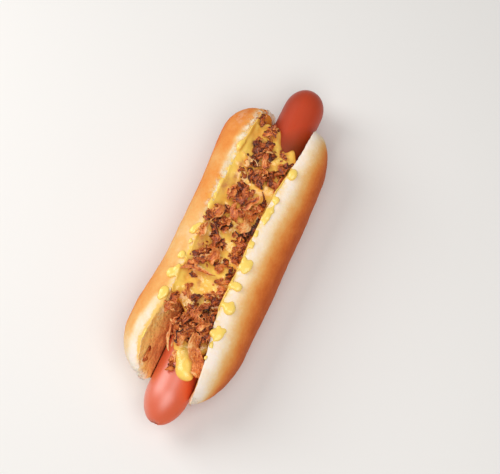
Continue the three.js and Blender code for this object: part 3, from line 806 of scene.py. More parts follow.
# Blobs over the cut edges: x, y, length along the edge, width, height, number of side lobes.
DOME_BLOBS = [
    (-67.5, -17.4, 4.0, 2.4, 0.7, 1), (-60.0, -17.0, 5.0, 3.6, 0.9, 2), (-52.6, -18.0, 8.5, 8.0, 1.3, 4),
    (-53.5, -15.0, 6.0, 5.0, 1.1, 1), (-37.4, -17.6, 9.2, 8.6, 1.7, 2), (-24.4, -16.6, 6.6, 6.6, 1.6, 1),
    (-25.0, -13.6, 4.0, 5.0, 1.2, 0), (-11.6, -16.0, 8.5, 8.5, 1.1, 5), (-9.0, -13.5, 6.0, 4.0, 0.9, 1),
    (1.0, -14.0, 6.0, 3.4, 0.7, 3), (7.5, -13.6, 5.0, 2.6, 0.6, 2), (20.5, -14.6, 12.5, 4.4, 0.8, 6),
    (23.5, -15.6, 4.5, 4.4, 1.0, 1), (30.4, -15.4, 5.6, 5.2, 1.2, 1), (48.0, -17.6, 7.4, 5.6, 1.9, 0),
]
FLAT_BLOBS = [
    (-68.0, 19.6, 9.0, 2.2, 0.5, 3), (-42.4, 19.8, 9.6, 7.4, 1.5, 1), (-30.6, 21.2, 8.0, 6.4, 1.4, 2),
    (-27.4, 18.8, 6.0, 5.0, 1.4, 1), (-18.6, 20.0, 6.4, 5.0, 1.1, 3), (-2.6, 20.2, 7.6, 4.8, 1.1, 3),
    (0.6, 18.4, 5.4, 3.0, 0.9, 1), (14.9, 18.4, 7.0, 3.0, 0.6, 4), (21.5, 17.9, 5.0, 2.4, 0.5, 3),
    (27.4, 18.1, 9.0, 2.8, 0.6, 4), (-9.5, 19.2, 5.0, 2.6, 0.6, 2), (8.0, 18.2, 4.6, 2.2, 0.5, 3),
    (53.6, 17.4, 8.6, 4.6, 1.5, 1), (39.0, 17.6, 5.0, 1.8, 0.4, 2),
]


def crust_height(half, rim_y, outer_y, y):
    out = np.clip(abs((y - rim_y) / (outer_y - rim_y)), 0, 1)
    rise = (1 - out ** CRUST_SQUARENESS) ** (1 / CRUST_SQUARENESS)
    return half["belt_z"] + (half["rim_z"] - half["belt_z"]) * rise


def blob_forms(x, y, length, width, height, lobes, half, rim_y, outer_y, draw):
    """A flat drop with smaller lobes run together round it, all lying on the crust."""
    forms = []
    spread = 1.0 if lobes == 0 else 0.82
    for number in range(lobes + 1):
        size = 1.0 if number == 0 else draw.uniform(0.4, 0.66)
        reach = 0.0 if number == 0 else draw.uniform(0.5, 0.8)
        bearing = draw.uniform(0, 2 * math.pi)
        here_x = x + reach * length / 2 * math.cos(bearing)
        here_y = y + reach * width / 2 * math.sin(bearing)
        top = crust_height(half, rim_y(here_x), outer_y(here_x), here_y)
        radii = (size * spread * length / 2, size * spread * width / 2, height * (0.4 + 0.6 * size))
        forms.append(ball((here_x, here_y, top - 0.1), radii))
    return forms


draw = np.random.default_rng(SAUCE_SEED)
dome_coat = coat_section(dome_rim_y, top_z=45.0, foot_y=-16.0, foot_z=30.0, thick=1.2, seed=1.0)
flat_coat = coat_section(flat_rim_y, top_z=40.6, foot_y=7.5, foot_z=24.0, thick=0.9, seed=2.0)
sauce_forms = [
    pod(-70, 72, 12, bed_section, rows=90, sides=40),
    pod(-82, -52, 5, tongue_section, rows=40, sides=32),
    pod(-62, 58, 9, dome_coat, rows=90, sides=24),
    pod(-43, 77, 7, flat_coat, rows=90, sides=24),
]
for blob in DOME_BLOBS:
    sauce_forms += blob_forms(*blob, DOME_HALF, dome_rim_y, dome_outer_y, draw)
for blob in FLAT_BLOBS:
    sauce_forms += blob_forms(*blob, FLAT_HALF, flat_rim_y, flat_outer_y, draw)

form_starts = np.cumsum([0] + [len(form) for form, _faces in sauce_forms])
raw_spots = np.concatenate([form for form, _faces in sauce_forms])
raw_faces = [[i + first for i in face] for first, (_form, faces) in zip(form_starts, sauce_forms)
             for face in faces]

# Toward the tail the shore of the sauce lies aslant, with a bight and a small lobe beside it.
raw_x, raw_y, raw_z = raw_spots[:, 0].copy(), raw_spots[:, 1], raw_spots[:, 2]
shore = np.clip(0.75 * (raw_y + 2), -9, 4) - 6.0 * bell(raw_y, -5, 3.4)
shore += 3.6 * ease(-raw_y, 7.0, 10.5) + 0.5 * np.sin(raw_y / 1.1)
raw_spots[:, 0] += shore * ease(raw_x, 48, 70) * (raw_z < 40)
raw_mesh = bpy.data.meshes.new("sauce_raw")
raw_mesh.from_pydata((raw_spots * MM).tolist(), [], raw_faces)
raw_sauce = place_piece("sauce_raw", raw_mesh)
poured = raw_sauce.modifiers.new("poured", "REMESH")
poured.mode = "VOXEL"
poured.voxel_size = SAUCE_GRAIN * MM
soften = raw_sauce.modifiers.new("soften", "SMOOTH")
soften.factor = 0.6
soften.iterations = 8
sauce = place_piece("cheese_sauce", evaluated_mesh(raw_sauce, "cheese_sauce"))
sauce.data.shade_smooth()
sauce_spots = places(sauce)
sauce_x, sauce_y = sauce_spots[:, 0] / MM, sauce_spots[:, 1] / MM
facing_up = np.clip(normals(sauce)[:, 2], 0, 1)
swell = 1.2 * lumps(sauce_spots / MM, 9, 2) + 0.45 * lumps(sauce_spots / MM + 30, 3.6, 2)
in_trough = ease(sauce_y, -13, -9) * (1 - ease(sauce_y, 12, 16))
past_tongue = mix(0.35, 1.0, ease(sauce_x, -66, -58))
sauce_spots[:, 2] += (swell - 0.1) * facing_up * (0.3 + 0.7 * in_trough) * past_tongue * MM
# Painted shade on the sauce's steep faces, weaker toward the domed half.
toward_dome = ease(-sauce_y, 9, 12)
store(sauce.data, "slope_shade", (1 - facing_up) * past_tongue * mix(1.0, 0.6, toward_dome))
# Painted shade in the low hollows of the sauce's surface in the trough.
store(sauce.data, "hollow_shade", np.clip(0.35 - swell, 0, 1) * in_trough)
# Painted light: the sauce is paler where it sits up on the crust and on the tongue.
on_crust = np.maximum(dome_rim_y(sauce_x) - sauce_y, sauce_y - flat_rim_y(sauce_x))
store(sauce.data, "painted_light", np.maximum(ease(on_crust, 0.0, 1.0), 1.4 * (1 - past_tongue)))

# Shreds that show brown through a thin coat of sauce: x, y, length, width.
SUNKEN_SHREDS = [(-7.5, 13.8, 4.6, 2.4), (28.9, 15.2, 4.5, 1.9), (-29.4, 4.5, 2.2, 1.8),
                 (44.0, 12.5, 3.4, 1.8), (36.0, 12.0, 2.6, 1.6), (-22.0, 14.6, 3.2, 1.6)]
veil = np.zeros(len(sauce_spots))
for x, y, length, width in SUNKEN_SHREDS:
    veil = np.maximum(veil, bell(sauce_x, x, length) * bell(sauce_y, y, width))
store(sauce.data, "veil", veil)
move(sauce, sauce_spots)

SAUCE_DEEP_AND_SHADED = tint(240, 156, 56)
SAUCE_BODY = tint(255, 206, 92)
SAUCE_PALE_AND_LIT = tint(255, 216, 106)
SUNKEN_BROWN = tint(208, 130, 78)
SAUCE_IN_ONION_SHADE = tint(240, 150, 62)


def sauce_finish():
    finish, tree, shader, where = new_finish("yellow_sauce")
    share = vary(tree, 0.62, grain(tree, where, 90, 3), 0.4)
    # Painted shade darkens the steep faces.
    share = math_of(tree, "MULTIPLY_ADD", marked(tree, "slope_shade"), -0.5, share)
    # Painted shade in the hollows.
    share = math_of(tree, "MULTIPLY_ADD", marked(tree, "hollow_shade"), -0.3, share)
    # Painted light on the blobs over the crust and on the tongue.
    share = math_of(tree, "MULTIPLY_ADD", marked(tree, "painted_light"), 0.3, share)
    colour = ramp(tree, share, (0.05, SAUCE_DEEP_AND_SHADED), (0.55, SAUCE_BODY), (0.85, SAUCE_PALE_AND_LIT))
    cloud = ramp(tree, grain(tree, where, 420, 4, 0.6), (0.36, BLACK), (0.6, WHITE))
    veiled = math_of(tree, "MULTIPLY", marked(tree, "veil"), vary(tree, 0.6, cloud, 0.7), clamp=True)
    colour = blend(tree, veiled, colour, SUNKEN_BROWN)
    # Painted shade under and beside the onion shreds.
    colour = blend(tree, math_of(tree, "MULTIPLY", marked(tree, "onion_shade"), 0.7), colour, SAUCE_IN_ONION_SHADE)
    tree.links.new(colour, shader.inputs["Base Color"])
    rough = math_of(tree, "MULTIPLY_ADD", grain(tree, where, 260, 3), 0.2, 0.12)
    tree.links.new(rough, shader.inputs["Roughness"])
    ripple = bump(tree, grain(tree, where, 240, 3), 0.0004, 0.3)
    fine_ripple = bump(tree, grain(tree, where, 1200, 2), 0.00008, 0.25, ripple)
    tree.links.new(fine_ripple, shader.inputs["Normal"])
    soft_inside(shader, 0.15, (1.0, 0.75, 0.4), 1.2)
    shader.inputs["Coat Weight"].default_value = 0.32
    shader.inputs["Coat Roughness"].default_value = 0.15
    return finish


sauce.data.materials.clear()
sauce.data.materials.append(sauce_finish())
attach(sauce, "root")
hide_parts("sauce")


# ------------------------------------------------------------------------- fried onions
# Crisp fried onions: thin crumpled shreds in a rough, crumbly coating, tan to nearly black
# and darkest along their edges. They are heaped toward the nose and lie in clumps beyond.

ONION_SEED = 21
FILL_TRIES = 150
COMPANY = 2
ROOMY = 1.35
CRUMB_COUNT = 150
SHADE_SPREAD = 5
CREASES = 6
CREASE_DEPTH = 0.28
RIB_STEP = 1.5
RIB_HEIGHT = 0.14
RIM_THINNING = 0.65
COATING = 0.22
TALLEST = 0.62
SHARP_ABOVE = 50
CORE_RADII = (12, 7.5, 5.2)
HEAP_X = -51
HEAP_Y = -5
HEAP_SPREAD_X = 9
HEAP_HALF_WIDTH = 11
HEAP_BASE = 36.8
HEAP_RISE = 6.8
DARKEST = 0.12
PALEST = 0.85

# Shapes: length, width, thickness, curl, sway, twist, stand, raggedness, crumple, rows, columns.
SHRED_SHAPES = {
    "chip": (7.0, 5.0, 0.8, -0.5, 0.2, 0.3, 0.0, 0.4, 1.1, 10, 7),
    "flake": (9.0, 5.0, 0.7, 0.5, 0.3, 0.5, 0.0, 0.45, 1.4, 12, 8),
    "crisp": (8.0, 4.5, 0.8, -1.0, -0.3, 0.6, 0.0, 0.45, 1.2, 12, 8),
    "fold": (11.0, 5.0, 0.7, -1.8, 0.2, 0.2, 0.0, 0.4, 0.9, 15, 8),
    "strip": (11.0, 2.8, 0.8, -0.5, 0.5, 0.9, 0.0, 0.4, 0.7, 16, 5),
    "ribbon": (17.0, 2.8, 0.8, -0.4, 0.6, 1.6, 0.2, 0.4, 0.8, 24, 5),
    "curl": (12.0, 4.0, 0.7, -1.9, 0.3, 0.4, 0.0, 0.4, 0.6, 18, 7),
    "ring": (15.0, 2.2, 0.8, 0.2, 2.6, 0.3, 1.1, 0.3, 0.3, 22, 3),
    "slab": (22.0, 7.0, 0.9, -0.2, 0.15, 0.3, 0.0, 0.22, 1.5, 44, 16),
    "sheet": (11.0, 9.0, 1.0, -0.6, 0.3, 0.3, 0.0, 0.25, 1.0, 26, 20),
    "nub": (5.0, 4.0, 1.5, -0.8, 0.4, 0.4, 0.0, 0.6, 0.9, 8, 6),
    "knot": (17.0, 4.2, 0.7, 3.0, 0.9, 2.0, 0.3, 0.5, 0.9, 22, 6),
    "tangle": (20.0, 3.6, 0.7, 2.4, -1.8, 2.6, 0.0, 0.5, 0.9, 24, 6),
    "wad": (15.0, 4.6, 0.7, -2.6, 1.4, 1.5, 0.6, 0.5, 1.0, 20, 6),
    "blade": (8.0, 1.7, 0.7, -0.25, 0.2, 0.3, 0.4, 0.25, 0.2, 9, 3),
    "thread": (12.0, 1.3, 0.9, -0.6, 0.5, 1.2, 0.0, 0.3, 0.2, 18, 2),
    "straw": (12.0, 0.7, 0.6, -0.5, 0.4, 0.6, 0.0, 0.2, 0.0, 14, 2),
    "crumb": (2.4, 1.8, 0.9, -0.4, 0.2, 0.4, 0.0, 0.4, 0.4, 3, 2),
}

# Shreds that stand out: shape, x, y, length, width, turn in degrees, tone from 0, dark, to 1, pale.
SHREDS = [
    ("sheet", -52.2, 0.3, 9.4, 8.0, -37, 0.42), ("flake", -52.5, -8.3, 6.4, 3.8, -43, 0.72),
    ("fold", -43.5, -0.3, 5.6, 4.0, -35, 0.36), ("curl", -41.5, -5.2, 5.3, 3.6, -17, 0.42),
    ("thread", -48.3, -2.4, 6.4, 1.1, -118, 0.62), ("nub", -41.8, -8.7, 2.5, 2.9, -31, 0.5),
    ("flake", -40.2, -11.4, 4.6, 2.5, -37, 0.45), ("chip", -45.2, -9.9, 3.8, 2.9, -43, 0.2),
    ("fold", -48.0, -8.4, 4.7, 2.4, -133, 0.4), ("strip", -44.9, -14.1, 7.4, 1.2, -178, 0.5),
    ("ribbon", -57.4, -11.5, 10.6, 1.4, -101, 0.45), ("nub", -54.9, -14.6, 3.0, 2.2, -10, 0.4),
    ("chip", -50.0, -12.5, 4.0, 2.5, -20, 0.2), ("flake", -62.0, 0.3, 7.4, 4.7, -23, 0.85),
    ("chip", -61.4, -12.8, 5.0, 3.6, -150, 0.05), ("nub", -64.7, -14.8, 4.4, 3.2, -140, 0.05),
    ("chip", -68.8, -15.6, 4.0, 2.6, -150, 0.3), ("chip", -58.4, -13.4, 4.5, 3.0, 20, 0.1),
    ("sheet", -61.4, -7.6, 6.4, 5.2, -147, 0.8), ("slab", -67.6, -11.4, 18.5, 6.2, -151, 0.62),
    ("thread", -61.0, 6.8, 10.5, 1.4, -164, 0.8), ("thread", -62.7, 4.3, 11.0, 1.5, -169, 0.7),
    ("thread", -67.5, 5.3, 8.6, 1.6, -161, 0.9), ("thread", -62.6, 3.6, 5.7, 1.4, -155, 0.5),
    ("nub", -56.4, 7.6, 3.0, 1.8, -111, 0.7), ("strip", -71.7, 0.1, 5.6, 2.4, -173, 0.6),
    ("nub", -78.3, -0.6, 4.9, 4.0, -25, 0.5), ("chip", -74.4, 1.3, 3.7, 2.2, -6, 0.7),
    ("crisp", -76.6, -15.4, 5.2, 2.5, -114, 0.8), ("nub", -50.2, 5.5, 2.6, 2.2, -8, 0.8),
    ("flake", -42.5, 14.2, 6.6, 4.3, -3, 0.3), ("crisp", -47.8, 14.6, 5.6, 3.6, -35, 0.5),
    ("ring", -48.2, 10.8, 4.8, 2.2, -83, 1.0), ("strip", -40.6, 12.3, 3.2, 1.4, -1, 0.35),
    ("strip", -36.3, 7.6, 8.1, 2.5, 32, 0.5), ("chip", -37.2, 2.8, 4.9, 2.2, -34, 0.1),
    ("strip", -33.3, -4.2, 5.8, 1.8, -17, 0.45), ("curl", -28.6, -7.3, 5.6, 4.0, -14, 0.4),
    ("chip", -35.6, -7.4, 4.3, 3.3, -30, 0.2), ("flake", -32.9, -10.8, 4.9, 2.9, -34, 0.25),
    ("nub", -32.6, -5.6, 2.6, 2.2, -31, 0.5), ("chip", -55.4, 4.7, 3.8, 2.5, -31, 0.45),
    ("chip", -56.8, -1.0, 2.0, 2.2, -19, 0.55), ("chip", -44.9, 3.9, 2.7, 2.2, -42, 0.4),
    ("strip", -76.5, 14.4, 7.9, 2.5, -6, 0.35), ("chip", -26.3, 9.8, 4, 2.5, 70, 0.3),
    ("ribbon", -24.0, 8.3, 17, 2.6, 101, 0.55), ("nub", -21.5, 10.9, 3, 2.5, 90, 0.15),
    ("strip", -20.4, 12.3, 7, 3, 110, 0.5), ("chip", -13.3, 11.0, 7, 3, 130, 0.2),
    ("flake", -15.4, 9.2, 7, 3, 120, 0.7), ("chip", -14.9, 1.4, 4, 2.5, 80, 0.15),
    ("curl", -11.4, 4.4, 9, 6, 20, 0.66), ("crisp", -16.4, -2.6, 5, 3, -35, 0.45),
    ("nub", -11.9, -3.6, 4, 3, 0, 0.15), ("chip", -3.4, 4.0, 6, 3, 10, 0.25),
    ("curl", -3.4, 6.8, 7, 5, 20, 0.5), ("blade", 2.0, 8.8, 8, 2.2, 60, 0.12),
    ("flake", -0.4, 14.8, 8, 3, 5, 0.7), ("chip", 6.5, 4.9, 7, 4, -15, 0.12),
    ("curl", 7.5, 7.8, 6, 4, 10, 0.2), ("crisp", 9.4, 4.6, 5, 3, 0, 0.5),
    ("chip", 8.5, 14.3, 6, 3, 45, 0.45), ("strip", -23.3, -7.6, 8, 2.5, 110, 0.5),
    ("nub", -18.9, -8.6, 5, 3.5, 0, 0.1), ("chip", -15.4, -8.1, 4, 2, 20, 0.1),
    ("blade", -15.4, -10.5, 4, 1.6, 10, 0.5), ("crisp", -8.4, -7.1, 5, 3.5, 20, 0.45),
    ("flake", -6.4, -9.0, 5, 3, -10, 0.2), ("chip", -4.4, -6.6, 5, 2.5, 10, 0.5),
    ("crisp", -2.4, -10.0, 5, 2.5, 20, 0.15), ("strip", 0.8, -6.1, 8, 2, 80, 0.5),
    ("nub", 8.0, -10.1, 6, 4.5, 10, 0.3), ("chip", 15.0, -10.3, 7, 2.5, 0, 0.05),
    ("flake", 23.4, -1.6, 12, 4, -25, 0.4), ("chip", 10.8, -10.4, 6, 3, -15, 0.1),
    ("flake", 4.6, -5.0, 7, 4.5, -20, 0.4), ("sheet", 19.4, -6.0, 8, 5.6, -10, 0.7),
    ("slab", 12.5, -5.2, 13, 5.6, -5, 0.9), ("curl", 22.8, -7.6, 7, 4, -30, 0.7),
    ("blade", 29.4, -8.1, 8, 1.7, 28, 0.05), ("curl", 11.5, 12.3, 10, 5, -10, 0.55),
    ("chip", 7.5, 14.8, 5, 2.5, 50, 0.25), ("nub", 17.5, 8.4, 4, 2.5, 30, 0.15),
    ("crisp", 16.0, 3.9, 9, 4, 15, 0.5), ("nub", 28.4, 6.4, 5, 3, 0, 0.15),
    ("flake", 27.0, 9.3, 9, 4.5, 0, 0.55), ("chip", 25.4, 4.9, 7, 4, 20, 0.35),
    ("crisp", 29.4, 2.9, 8, 3.5, 10, 0.5), ("chip", 33.4, 7.8, 5, 3, 60, 0.2),
    ("chip", 23.0, 10.3, 4, 2, 0, 0.4), ("ring", 39.9, 9.3, 5, 2, 80, 0.35),
    ("chip", 39.9, 4.4, 6, 3, 0, 0.25), ("nub", 42.4, 5.9, 4, 3, 20, 0.15),
    ("nub", 46.3, 8.8, 4, 4, 0, 0.25), ("chip", 48.8, 6.9, 5, 3, -30, 0.15),
    ("nub", 51.3, 7.3, 3, 3, 0, 0.05), ("crisp", 38.4, -1.1, 6, 4, 20, 0.25),
    ("flake", 42.3, -1.6, 6, 4, 0, 0.5), ("chip", 40.3, -3.6, 6, 3, -10, 0.4),
    ("nub", 45.3, -4.1, 3, 2.5, 0, 0.2), ("strip", 50.3, 0.4, 9, 3, 5, 0.5),
    ("chip", 55.3, -1.6, 4, 4.5, 80, 0.15), ("chip", 41.3, -8.1, 7, 4, 30, 0.3),
    ("nub", 39.9, -9.1, 3, 2, 0, 0.05), ("strip", 41.3, -12.2, 8, 2.5, -10, 0.45),
    ("nub", 47.3, -9.1, 5, 5, 0, 0.2), ("crisp", 50.8, -9.6, 6, 4, 10, 0.3),
    ("chip", 52.8, -13.4, 7, 2.5, -20, 0.05), ("chip", 58.8, -7.6, 4, 2.5, 30, 0.45),
    ("chip", 60.7, -5.6, 3, 1.5, 30, 0.4), ("nub", 54.3, 4.9, 5, 4, 0, 0.08),
    ("crisp", 56.3, 8.3, 8, 4, 20, 0.2), ("strip", 59.3, 5.9, 9, 3.5, 100, 0.2),
    ("chip", 60.7, 2.4, 4, 5, 0, 0.25), ("chip", 62.2, 9.8, 4, 2.5, -10, 0.5),
    ("nub", 57.3, 0.9, 4, 4, 0, 0.5), ("strip", 67.7, 5.9, 7, 2.5, 110, 0.3),
    ("chip", 68.7, 2.4, 3, 2, 0, 0.3), ("chip", 72.2, 4.4, 5, 2.5, 45, 0.45),
    ("strip", 73.2, 12.3, 6, 2.5, 10, 0.3), ("ring", 77.4, 12.3, 4, 2, 20, 0.5),
    ("straw", 49.3, 8.7, 9.5, 1.0, 67, 1.6), ("straw", 44.3, 1.9, 6, 0.9, 20, 0.8),
    ("slab", -51.2, 0.6, 9.5, 4.4, -22, 0.58), ("slab", -45.2, -3.2, 8.0, 3.6, -40, 0.36),
    ("slab", -50.6, -6.4, 8.0, 3.0, -70, 0.44),
]


def crumple(u, v, draw):
    """Heights of a crumpled sheet: straight creases that cross at random."""
    rise = 0 * (u + v)
    for _ in range(CREASES):
        angle = draw.uniform(0, math.pi)
        offset, depth = draw.uniform(-0.7, 0.7), draw.uniform(-1, 1)
        rise = rise + depth * np.abs(1.7 * u * math.cos(angle) + v * math.sin(angle) - offset)
    return rise - rise.mean()


def wander(u, bend, draw):
    """An angle that changes steadily along a strip, and wavers."""
    return bend * u + 0.4 * np.sin(draw.uniform(2.5, 4.5) * u + draw.uniform(0, 6))


def strip_axes(pitch, yaw, roll):
    """Which way is ahead, sideways and up at each place along a bent and twisted strip."""
    level_ahead = np.cos(pitch)
    ahead = np.stack([level_ahead * np.cos(yaw), level_ahead * np.sin(yaw), np.sin(pitch)], axis=-1)
    level = np.stack([-np.sin(yaw), np.cos(yaw), 0 * yaw], axis=-1)
    roll = roll[..., None]
    sideways = np.cos(roll) * level + np.sin(roll) * np.cross(ahead, level)
    return ahead, sideways, np.cross(ahead, sideways)


def sheet_faces(rows, columns):
    """The faces of a thin closed sheet: its top, its underside and the border between them."""
    ring = columns + 1
    under = (rows + 1) * ring
    faces = []
    for i in range(rows):
        for j in range(columns):
            a = i * ring + j
            b = a + ring
            faces += [(a, b, b + 1, a + 1), (under + a, under + a + 1, under + b + 1, under + b)]
    last = rows * ring
    border = (list(range(ring)) + [i * ring + columns for i in range(1, rows + 1)]
              + [last + j for j in range(columns - 1, -1, -1)]
              + [i * ring for i in range(rows - 1, 0, -1)])
    return faces + [(a, b, under + b, under + a) for a, b in zip(border, border[1:] + border[:1])]


def shred(length, width, thick, curl, sway, twist, stand, ragged, creased, rows, columns, seed):
    """One closed shred: a crumpled strip, bent and twisted along itself, ragged at its edges."""
    draw = np.random.default_rng(seed)
    u = np.linspace(-1, 1, rows + 1)[:, None]
    v = np.linspace(-1, 1, columns + 1)[None, :]
    sides = [np.array([noise.noise(Vector((3.1 * a + seed, b, seed))) for a in u[:, 0]])
             for b in (3, 7)]
    low, high = -1 + ragged * sides[0][:, None], 1 + ragged * sides[1][:, None]
    frayed = draw.uniform(-0.5, 0.5, (2, columns + 1))
    taper = np.sqrt(1 - 0.6 * u ** 6)
    across = mix(low, high, (v + 1) / 2) * taper * width / 2
    ends = [np.array([noise.noise(Vector((b, 2.3 * a, seed))) for a in v[0]]) + 0.5 * frayed[b // 7]
            for b in (3, 7)]
    overhang = ragged * width * 0.6 * u ** 3 * np.where(u > 0, ends[0][None, :], ends[1][None, :])
    rise = CREASE_DEPTH * creased * crumple(u, v, draw) * min(width, 4) / 2
    ribs = math.pi * width * (v + 0.12 * np.sin(3 * u + seed)) / RIB_STEP
    rise = rise + RIB_HEIGHT * np.sin(ribs)
    pitch, yaw, roll = [wander(u, bend, draw) for bend in (curl, sway, twist)]
    ahead, sideways, upward = strip_axes(pitch, yaw, roll + stand)
    sheet = (np.cumsum(ahead, axis=0) * length / rows + ahead * overhang[..., None]
             + sideways * across[..., None] + upward * rise[..., None])
    facing = np.cross(np.gradient(sheet, axis=0), np.gradient(sheet, axis=1))
    facing /= np.linalg.norm(facing, axis=-1, keepdims=True) + 1e-9
    rim = np.maximum(np.abs(v) ** 3, np.abs(u) ** 8)
    body = thick / 2 * (1 - RIM_THINNING * rim)[..., None] * facing
    both = np.concatenate([(sheet + body).reshape(-1, 3), (sheet - body).reshape(-1, 3)])
    outward = np.concatenate([facing.reshape(-1, 3), -facing.reshape(-1, 3)])
    both += outward * COATING * lumps(both + 10 * seed, 1.7)[:, None]
    both -= (both.max(axis=0) + both.min(axis=0)) / 2
    reach = np.ptp(both, axis=0)
    both[:, 2] *= min(1.0, TALLEST * min(reach[:2]) / reach[2])
    # How high each place of the crumple lies, used for painted shade in the creases.
    fold = np.clip(rise / (2 * rise.std() + 1e-9), -1, 1)
    streak = np.stack([across, 0.15 * length * u + 0 * v, 0 * across + 7.3 * seed], axis=-1)
    marks = {"rim": np.tile(rim.ravel(), 2), "fold": np.tile(fold.ravel(), 2),
             "streak": np.tile(streak.reshape(-1, 3), (2, 1))}
    return both, sheet_faces(rows, columns), marks


def heap_core():
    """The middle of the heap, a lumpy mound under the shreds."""
    form, faces = ball((0, 0, 0), CORE_RADII, rows=30, sides=40)
    form += form * (0.1 * lumps(form, 3.2))[:, None]
    marks = {"rim": np.zeros(len(form)), "fold": lumps(form, 3.2), "streak": form}
    return form, faces, marks


shred_models = {name: shred(*shape, seed=number + 1)
                for number, (name, shape) in enumerate(SHRED_SHAPES.items())}
shred_models["core"] = heap_core()
SHRED_NAMES = list(shred_models)

GRID_STEP = 0.5
ABOVE_ALL = 0.2
CRUST_DROP = 20.0


def ground_under(surface, x, y):
    """Where a ray that falls from above all pieces meets this surface, or None."""
    return surface.ray_cast(Vector((x, y, ABOVE_ALL)), Vector((0, 0, -1)))[0]


# The height of what lies on top, cell by cell. The domed half's crust counts as lower than it
# is, so a shred at the cut edge settles by what is in the cut and doesn't ride up on the crust.
grid_x = np.arange(-94, 90, GRID_STEP)
grid_y = np.arange(-30, 30, GRID_STEP)
height = np.zeros((len(grid_x), len(grid_y)))
for piece in (bun, sausage, sauce):
    corners = [tuple(polygon.vertices) for polygon in piece.data.polygons]
    surface = BVHTree.FromPolygons(places(piece).tolist(), corners)
    for i, place_x in enumerate(grid_x):
        for j, place_y in enumerate(grid_y):
            hit = ground_under(surface, place_x * MM, place_y * MM)
            if hit is not None:
                height[i, j] = max(height[i, j], hit.z / MM)
sauce_surface = surface
mesh_x, mesh_y = np.meshgrid(grid_x, grid_y, indexing="ij")
ground = height - CRUST_DROP * (mesh_y <= dome_rim_y(mesh_x) + 0.6)


def cell(x, y):
    i = np.clip(np.rint((x - grid_x[0]) / GRID_STEP).astype(int), 0, len(grid_x) - 1)
    j = np.clip(np.rint((y - grid_y[0]) / GRID_STEP).astype(int), 0, len(grid_y) - 1)
    return i, j


def ground_tilt(x, y, reach, steepest):
    """The turn that lays a flat thing on the slope at this place."""
    near = np.array([(x + reach, y), (x - reach, y), (x, y + reach), (x, y - reach)])
    levels = ground[cell(near[:, 0], near[:, 1])]
    slope_x = np.clip((levels[0] - levels[1]) / (2 * reach), -steepest, steepest)
    slope_y = np.clip((levels[2] - levels[3]) / (2 * reach), -steepest, steepest)
    return Vector((0, 0, 1)).rotation_difference(Vector((-slope_x, -slope_y, 1)))


CAD_TOP = cad_box[1][2] / MM
TOP_MARGIN = 0.25
LOWEST_SEAT = 12.0
MOST_SUNK = 2.5
LYING_SLOPE = 0.45
LEANING_SLOPE = 1.7
LONG_SHRED = 12
RESTING_SHARE = 84
LONG_RESTING_SHARE = 93

# One row for each settled shred: its place, turn, size, shape number, tone and rim tone.
seats = []


def settle(name, x, y, length, width, turn, tone, pitch=0.0, roll=0.0, sink=0.35,
           steepest=LYING_SLOPE):
    """Drops one shred onto what already lies there, unless it would lie too high."""
    reach = np.ptp(shred_models[name][0], axis=0)
    size = np.array([length / reach[0], width / reach[1], 1.0])
    size[2] = 0.8 if length > 15 else min(1.5, max(0.8, 1.2 * math.sqrt(size[0] * size[1])))
    own_turn = Euler((roll, pitch, math.radians(turn))).to_quaternion()
    attitude = ground_tilt(x, y, 1.5, steepest) @ own_turn
    turned = (shred_models[name][0] * size) @ np.array(attitude.to_matrix()).T
    cells = cell(turned[:, 0] + x, turned[:, 1] + y)
    resting = RESTING_SHARE if length < LONG_SHRED else LONG_RESTING_SHARE
    lift = np.percentile(ground[cells] - turned[:, 2], resting) - sink
    too_high = (turned[:, 2] + lift).max() - CAD_TOP + TOP_MARGIN
    if too_high > MOST_SUNK or ground[cells].min() < LOWEST_SEAT:
        return
    lift -= max(0.0, too_high)
    np.maximum.at(ground, cells, turned[:, 2] + lift)
    seats.append(((x, y, lift), tuple(attitude.to_euler()), size, SHRED_NAMES.index(name),
                  mix(DARKEST, PALEST, tone), draw.uniform(-0.25, 0.35)))


def heap_top(x, y):
    across = max(0.0, 1 - ((y - HEAP_Y) / HEAP_HALF_WIDTH) ** 2)
    return HEAP_BASE + HEAP_RISE * bell(x, HEAP_X, HEAP_SPREAD_X) * across


# First the heap's core and filling, then the shreds that stand out, each with company beside
# it outside the heap, and last the crumbs.
HEAP_FILLING = ["chip", "flake", "crisp", "fold", "strip", "curl", "knot", "tangle", "wad"]
SMALL_COMPANY = ["nub", "chip", "wad", "knot", "crisp"]

draw = np.random.default_rng(ONION_SEED)
settle("core", x=-52.0, y=-6.5, length=19, width=15, turn=8, tone=0.2, sink=3.0)
for _ in range(FILL_TRIES):
    x, y = draw.normal(-54, 6.5), draw.normal(-6, 5)
    in_heap = -60.5 < x < -42.5 - 0.4 * y and dome_rim_y(x) + 1.5 < y < 4
    if not (in_heap and ground[cell(x, y)] < heap_top(x, y) - 0.6):
        continue
    settle(str(draw.choice(HEAP_FILLING)), x, y, draw.uniform(7, 11), draw.uniform(4, 7.5),
           draw.uniform(0, 360), draw.normal(0.4, 0.15), draw.normal(0, 0.3), draw.normal(0, 0.35))
for name, x, y, length, width, turn, tone in SHREDS:
    for _ in range(COMPANY if length > 4 and x > -40 else 0):
        beside = draw.choice([-1, 1]) * width * draw.uniform(0.3, 0.8)
        settle(str(draw.choice(SMALL_COMPANY)), x + draw.normal(0, 0.25) * length, y + beside,
               draw.uniform(3.5, 6), draw.uniform(3, 4.5), draw.uniform(0, 360),
               tone - draw.uniform(-0.08, 0.12))
    leans = name == "strip" and x < -76
    settle(name, x, y, ROOMY * length, ROOMY * width, turn, tone + draw.normal(0, 0.05),
           draw.normal(0, 0.12), draw.normal(0, 0.18),
           steepest=LEANING_SLOPE if leans else LYING_SLOPE)
